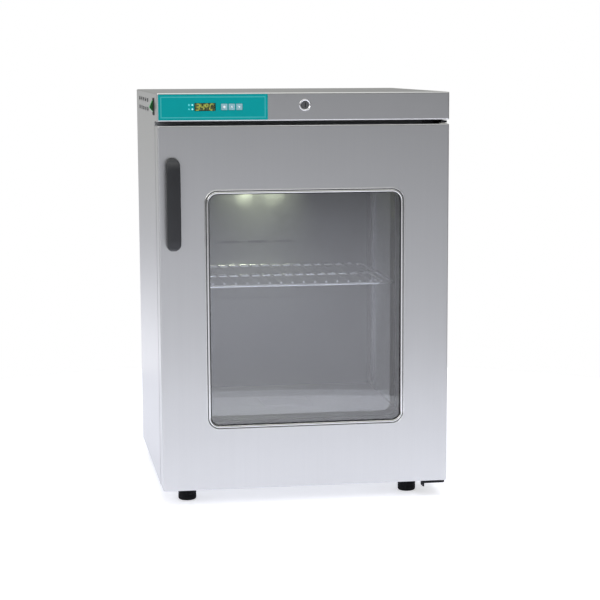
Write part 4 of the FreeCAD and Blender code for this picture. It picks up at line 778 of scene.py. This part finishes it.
bm = merged_copy("power_rocker")
soften(bm, sharp_edges(bm, 25), rocker_softening)
lit_green, tree, shader = new_material("rocker_green")
cloud = use_group(tree, moulding, {"Grains per metre": 1200.0})["Cloud"]
feed(shader, {"Base Color": between(tree, cloud, (0.01, 0.22, 0.05, 1.0), (0.015, 0.28, 0.07, 1.0)),
              "Roughness": between(tree, cloud, 0.16, 0.24),
              "Emission Color": (0.05, 1.0, 0.25, 1), "Emission Strength": rocker_glow})
# The ends' darker green is painted shade.
shaded_green = moulded("rocker_end_shade", (0.006, 0.075, 0.015), 0.3, 1200.0, gloss=0.3)
for face in bm.faces:
    if abs(face.normal.y) > end_facing:
        face.material_index = 1
rocker = piece_of(bm, "power_rocker_cap", lit_green, shaded_green)
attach(rocker, "rocker")
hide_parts("power_rocker")

bm = merged_copy("switch_housing")
soften(bm, [edge for edge in sharp_edges(bm) if all(vert.co.x < bezel_behind for vert in edge.verts)],
       bezel_softening)
housing = piece_of(bm, "switch_bezel", moulded("switch_black", (0.016, 0.016, 0.018), 0.36))
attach(housing, "cabinet")
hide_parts("switch_housing")


# ---------------------------------------------------------------- mains inlet
# Moulded plastic inlet for a loose lead, snapped into the back panel high up, with three brass
# pins in its socket.
flange_from = 0.3012                 # the flange outside the back panel has higher y
bm = merged_copy("mains_inlet")
soften(bm, [edge for edge in sharp_edges(bm) if all(vert.co.y > flange_from for vert in edge.verts)],
       bezel_softening)
inlet = piece_of(bm, "mains_inlet_body", moulded("inlet_black", (0.018, 0.018, 0.02), 0.40))
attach(inlet, "cabinet")
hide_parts("mains_inlet")
finish(brushed("contact_brass", (0.78, 0.58, 0.28), 0.25, (900.0, 60.0, 900.0)), "inlet_pins")


# ---------------------------------------------------------------- ceiling lamps
# Two round lamps in the chamber's ceiling near the back: a spun rim and a frosted lens with
# rings pressed in its face. They light the chamber's back wall.
lens_rings, ring_steps, ring_depth = 4, 6, 0.0003
lens_round, lens_border = 0.0012, 0.0014     # the lower edge's radius, and how far in the rings end
lens_glow = 3.0
lamp_colour = (0.92, 0.98, 0.68)

lens_low, lens_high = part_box("lamp_lenses")
lens_radius = (lens_high.y - lens_low.y) / 2
lamp_y = (lens_low.y + lens_high.y) / 2
lamp_places = (lens_low.x + lens_radius, lens_high.x - lens_radius)
profile = [(0, 0)]
for step in range(1, lens_rings * ring_steps + 1):
    radius = (lens_radius - lens_border) * step / (lens_rings * ring_steps)
    wave = 1 - math.cos(math.radians(360 / ring_steps) * step)
    profile.append((radius, ring_depth / 2 * wave))
profile += arc((lens_radius - lens_round, lens_round), lens_round, -70, 0, 5)
profile += [(lens_radius, lens_high.z - lens_low.z), (0, lens_high.z - lens_low.z)]
bm = bmesh.new()
for x in lamp_places:
    turned(bm, profile, (x, lamp_y, lens_low.z), (0, 0, 1), (1, 0, 0), 40)
frosted = glowing("frosted_lens", (0.95, 0.95, 0.90, 1), lens_glow,
                  shade(lamp_colour, 0.9), shade(lamp_colour, 1.0), 500.0, roughness=0.4)
lenses = piece_of(bm, "ceiling_lamp_lenses", frosted)
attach(lenses, "cabinet")
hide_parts("lamp_lenses")
finish(brushed("lamp_rim_steel", (0.70, 0.70, 0.70), 0.22, 900.0), "lamp_housings")

# The light of the bulbs: a bright beam on to the back wall, and a wide halo round it.
beam_target_below, bulb_below, bulb_radius = 0.072, 0.003, 0.008
duct_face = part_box("duct_panel")[0].y
for x in lamp_places:
    for name, watts, degrees in (("lamp_beam", 95.0, 32), ("lamp_halo", 8.0, 80)):
        bulb = aimed_light(name, "SPOT", (x, lamp_y, lens_low.z - bulb_below),
                           (x, duct_face, lens_low.z - beam_target_below), watts, lamp_colour)
        bulb.data.spot_size, bulb.data.spot_blend = math.radians(degrees), 1.0
        bulb.data.shadow_soft_size = bulb_radius


# ---------------------------------------------------------------- shelf
# Shelf of round stainless wire, welded and electro-polished. It lies loose on bent spring
# clips, which hook into the slots of the pilasters.
finish(brushed("wire_steel", (0.88, 0.88, 0.89), 0.18, 300.0, depth=0.000003, contrast=0.04),
       "wire_shelf")
finish(brushed("clip_steel", (0.62, 0.62, 0.63), 0.24, upright_streaks), "shelf_clips")


# ---------------------------------------------------------------- hinges
# Pressed steel brackets with a nose over and under the door's corner. Their near-black colour
# is painted shade, as they sit in the door's shadow. Steel pins in them turn in nylon bushes
# in the door.
bracket_softening = 0.0004
bracket_material = brushed("bracket_steel", (0.035, 0.035, 0.038), 0.36, 500.0)
for name in ("top_hinge_bracket", "bottom_hinge_bracket"):
    bm = merged_copy(name)
    soften(bm, sharp_edges(bm), bracket_softening, 2)
    bracket = piece_of(bm, name + "_pressing", bracket_material)
    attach(bracket, "cabinet")
    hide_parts(name)
finish(brushed("pin_steel", (0.62, 0.62, 0.63), 0.22, 900.0), "hinge_pins")
finish(moulded("bush_nylon", (0.74, 0.72, 0.66), 0.4), "hinge_bushes")


# ---------------------------------------------------------------- screws
# Domed zinc-plated screws with cross recesses. They hold the back panel, the bottom hinge
# bracket and the handle.
head_radius, head_height, shank_radius, screw_length = 0.0040, 0.0022, 0.0020, 0.0100
flat_radius, recess_reach, arm_half, recess_depth = 0.0022, 0.0017, 0.00038, 0.0011
head_edge, tip_length, tip_share = 0.0005, 0.0008, 0.6


def widen(bm, edges, scale, rise):
    """Extrudes a level round of edges, scales it about the z axis and lifts it."""
    grown = bmesh.ops.extrude_edge_only(bm, edges=edges)["geom"]
    verts = [part for part in grown if isinstance(part, bmesh.types.BMVert)]
    bmesh.ops.scale(bm, vec=(scale, scale, 1), verts=verts)
    bmesh.ops.translate(bm, vec=(0, 0, rise), verts=verts)
    return [part for part in grown if isinstance(part, bmesh.types.BMEdge)]


bm = bmesh.new()
bmesh.ops.create_grid(bm, x_segments=3, y_segments=3, size=recess_reach)
for vert in bm.verts:
    for axis in (0, 1):
        if abs(vert.co[axis]) < recess_reach * 0.9:
            vert.co[axis] = math.copysign(arm_half, vert.co[axis])
corners = [face for face in bm.faces
           if all(abs(place) > arm_half for place in face.calc_center_median().xy)]
bmesh.ops.delete(bm, geom=corners, context="FACES")
cross = list(bm.faces)
cross_rim = [edge for edge in bm.edges if edge.is_boundary]
known = set(bm.edges)
bmesh.ops.create_circle(bm, cap_ends=False, segments=24, radius=flat_radius)
rim = [edge for edge in bm.edges if edge not in known]
bmesh.ops.bridge_loops(bm, edges=cross_rim + rim)
push(bm, cross, (0, 0, -recess_depth))
bmesh.ops.delete(bm, geom=cross, context="FACES")
radius = flat_radius
dome = [(flat_radius + (head_radius - flat_radius) * math.sin(math.radians(step)),
         (head_height - head_edge) * (math.cos(math.radians(step)) - 1)) for step in (22, 45, 68, 90)]
outline = dome + [(head_radius, -head_height), (shank_radius, -head_height),
                  (shank_radius, -head_height - screw_length + tip_length),
                  (shank_radius * tip_share, -head_height - screw_length)]
height = 0.0
for next_radius, next_height in outline:
    rim = widen(bm, rim, next_radius / radius, next_height - height)
    radius, height = next_radius, next_height
bmesh.ops.contextual_create(bm, geom=rim)
bmesh.ops.translate(bm, vec=(0, 0, head_height), verts=bm.verts)
bmesh.ops.recalc_face_normals(bm, faces=bm.faces)
screw_mesh = new_mesh("cross_head_screw", bm)


def loose_solids(name):
    """Corner points of each separate solid in a CAD node."""
    bm = merged_copy(name)
    waiting, solids = set(bm.verts), []
    for start in bm.verts:
        if start not in waiting:
            continue
        waiting.remove(start)
        found = [start]
        for vert in found:
            for edge in vert.link_edges:
                other = edge.other_vert(vert)
                if other in waiting:
                    waiting.remove(other)
                    found.append(other)
        solids.append([vert.co.copy() for vert in found])
    bm.free()
    return solids


screw_material = brushed("screw_steel", (0.62, 0.625, 0.63), 0.26, 900.0)
for name, body in (("machine_screws", "cabinet"), ("handle_screws", "door")):
    bm = bmesh.new()
    for points in loose_solids(name):
        low = Vector([min(point[axis] for point in points) for axis in range(3)])
        high = Vector([max(point[axis] for point in points) for axis in range(3)])
        middle, size = (low + high) / 2, high - low
        axis = max(range(3), key=lambda index: size[index])
        direction = Vector([float(index == axis) for index in range(3)])
        off_axis = [(point - middle - direction * (point - middle)[axis]).length for point in points]
        widest = points[off_axis.index(max(off_axis))]       # on the head's rim
        if widest[axis] < middle[axis]:
            direction = -direction
        tip = middle + direction * size[axis] / 2
        bm.verts.ensure_lookup_table()
        first = len(bm.verts)
        bm.from_mesh(screw_mesh)
        bm.verts.ensure_lookup_table()
        turn = direction.to_track_quat("Z", "Y").to_matrix().to_4x4()
        bmesh.ops.transform(bm, verts=bm.verts[first:],
                            matrix=Matrix.Translation(tip - direction * head_height) @ turn)
    screws = piece_of(bm, name + "_cross_head", screw_material)
    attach(screws, body)
    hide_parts(name)
bpy.data.meshes.remove(screw_mesh)


# ---------------------------------------------------------------- feet
# Four black rubber feet with grip grooves, moulded on zinc-plated threaded stems. The stems
# screw into nuts welded over the base pan's holes.
pad_radius, pad_height, pad_round, pad_edge = 0.0190, 0.0346, 0.0045, 0.0010
stem_radius, stem_pitch, stem_cut, stem_edge = 0.0050, 0.0015, 0.0006, 0.0008
stem_clear = 0.001                   # plain stem below and above the thread
groove_heights, groove_depth, groove_half = (0.013, 0.018, 0.023, 0.028), 0.0006, 0.0011

foot_rubber = moulded("foot_rubber", (0.005, 0.005, 0.006), 0.6, 700.0, gloss=0.2)
stem_steel = brushed("stem_steel", (0.60, 0.60, 0.60), 0.3, 900.0)
profile = [(0, 0)] + arc((pad_radius - pad_round, pad_round), pad_round, -90, 0, 8)
for height in groove_heights:
    profile += [(pad_radius, height - groove_half), (pad_radius - groove_depth, height),
                (pad_radius, height + groove_half)]
profile += [(pad_radius, pad_height - pad_edge), (pad_radius - pad_edge, pad_height),
            (stem_radius, pad_height)]
stem_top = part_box("foot_front_left")[1].z
height = pad_height + stem_clear
while height + stem_pitch < stem_top - stem_clear:
    profile += [(stem_radius, height), (stem_radius - stem_cut, height + stem_pitch / 2)]
    height += stem_pitch
profile += [(stem_radius, stem_top - stem_edge), (stem_radius - stem_edge, stem_top), (0, stem_top)]
for name in ("foot_front_left", "foot_front_right", "foot_rear_left", "foot_rear_right"):
    low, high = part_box(name)
    bm = bmesh.new()
    turned(bm, profile, ((low.x + high.x) / 2, (low.y + high.y) / 2, low.z), (0, 0, 1), (1, 0, 0), 48)
    for face in bm.faces:
        if face.calc_center_median().z > low.z + pad_height + tolerance:
            face.material_index = 1
    foot = piece_of(bm, name + "_pad", foot_rubber, stem_steel)
    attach(foot, name)
    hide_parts(name)
finish(brushed("nut_steel", (0.60, 0.60, 0.60), 0.3, 500.0), "foot_nuts")


# ---------------------------------------------------------------- air system and electronics
# Pieces behind the panels. The motor hangs under the chamber and turns the fan wheel inside the
# sheathed ring heater. The probe comes through the duct panel, the thermostat stands on the
# tray, and mineral wool fills the walls and the door.
finish(brushed("fan_aluminium", (0.78, 0.79, 0.80), 0.30, 400.0), "fan_wheel")
finish(brushed("motor_steel", (0.34, 0.35, 0.36), 0.42, 300.0), "fan_motor")
finish(brushed("heater_sheath", (0.36, 0.33, 0.30), 0.38, 500.0, depth=0.00001, contrast=0.08),
       "heater_element")
finish(brushed("probe_steel", (0.66, 0.66, 0.67), 0.20, (900.0, 40.0, 900.0)), "temperature_probe")
finish(moulded("cut_out_body", (0.05, 0.028, 0.02), 0.4), "safety_thermostat")
fibres_per_metre, fibre_depth = 260.0, 0.0015
wool, tree, shader = new_material("mineral_wool")
here = tree.nodes.new("ShaderNodeTexCoord").outputs["Object"]
fibres = noise(tree, here, fibres_per_metre, 6.0, 0.7)
colour = between(tree, fibres, (0.42, 0.34, 0.14, 1.0), (0.86, 0.78, 0.46, 1.0))
feed(shader, {"Base Color": colour, "Roughness": 0.95})
raise_surface(tree, shader, fibres, fibre_depth)
finish(wool, "insulation", "door_insulation")
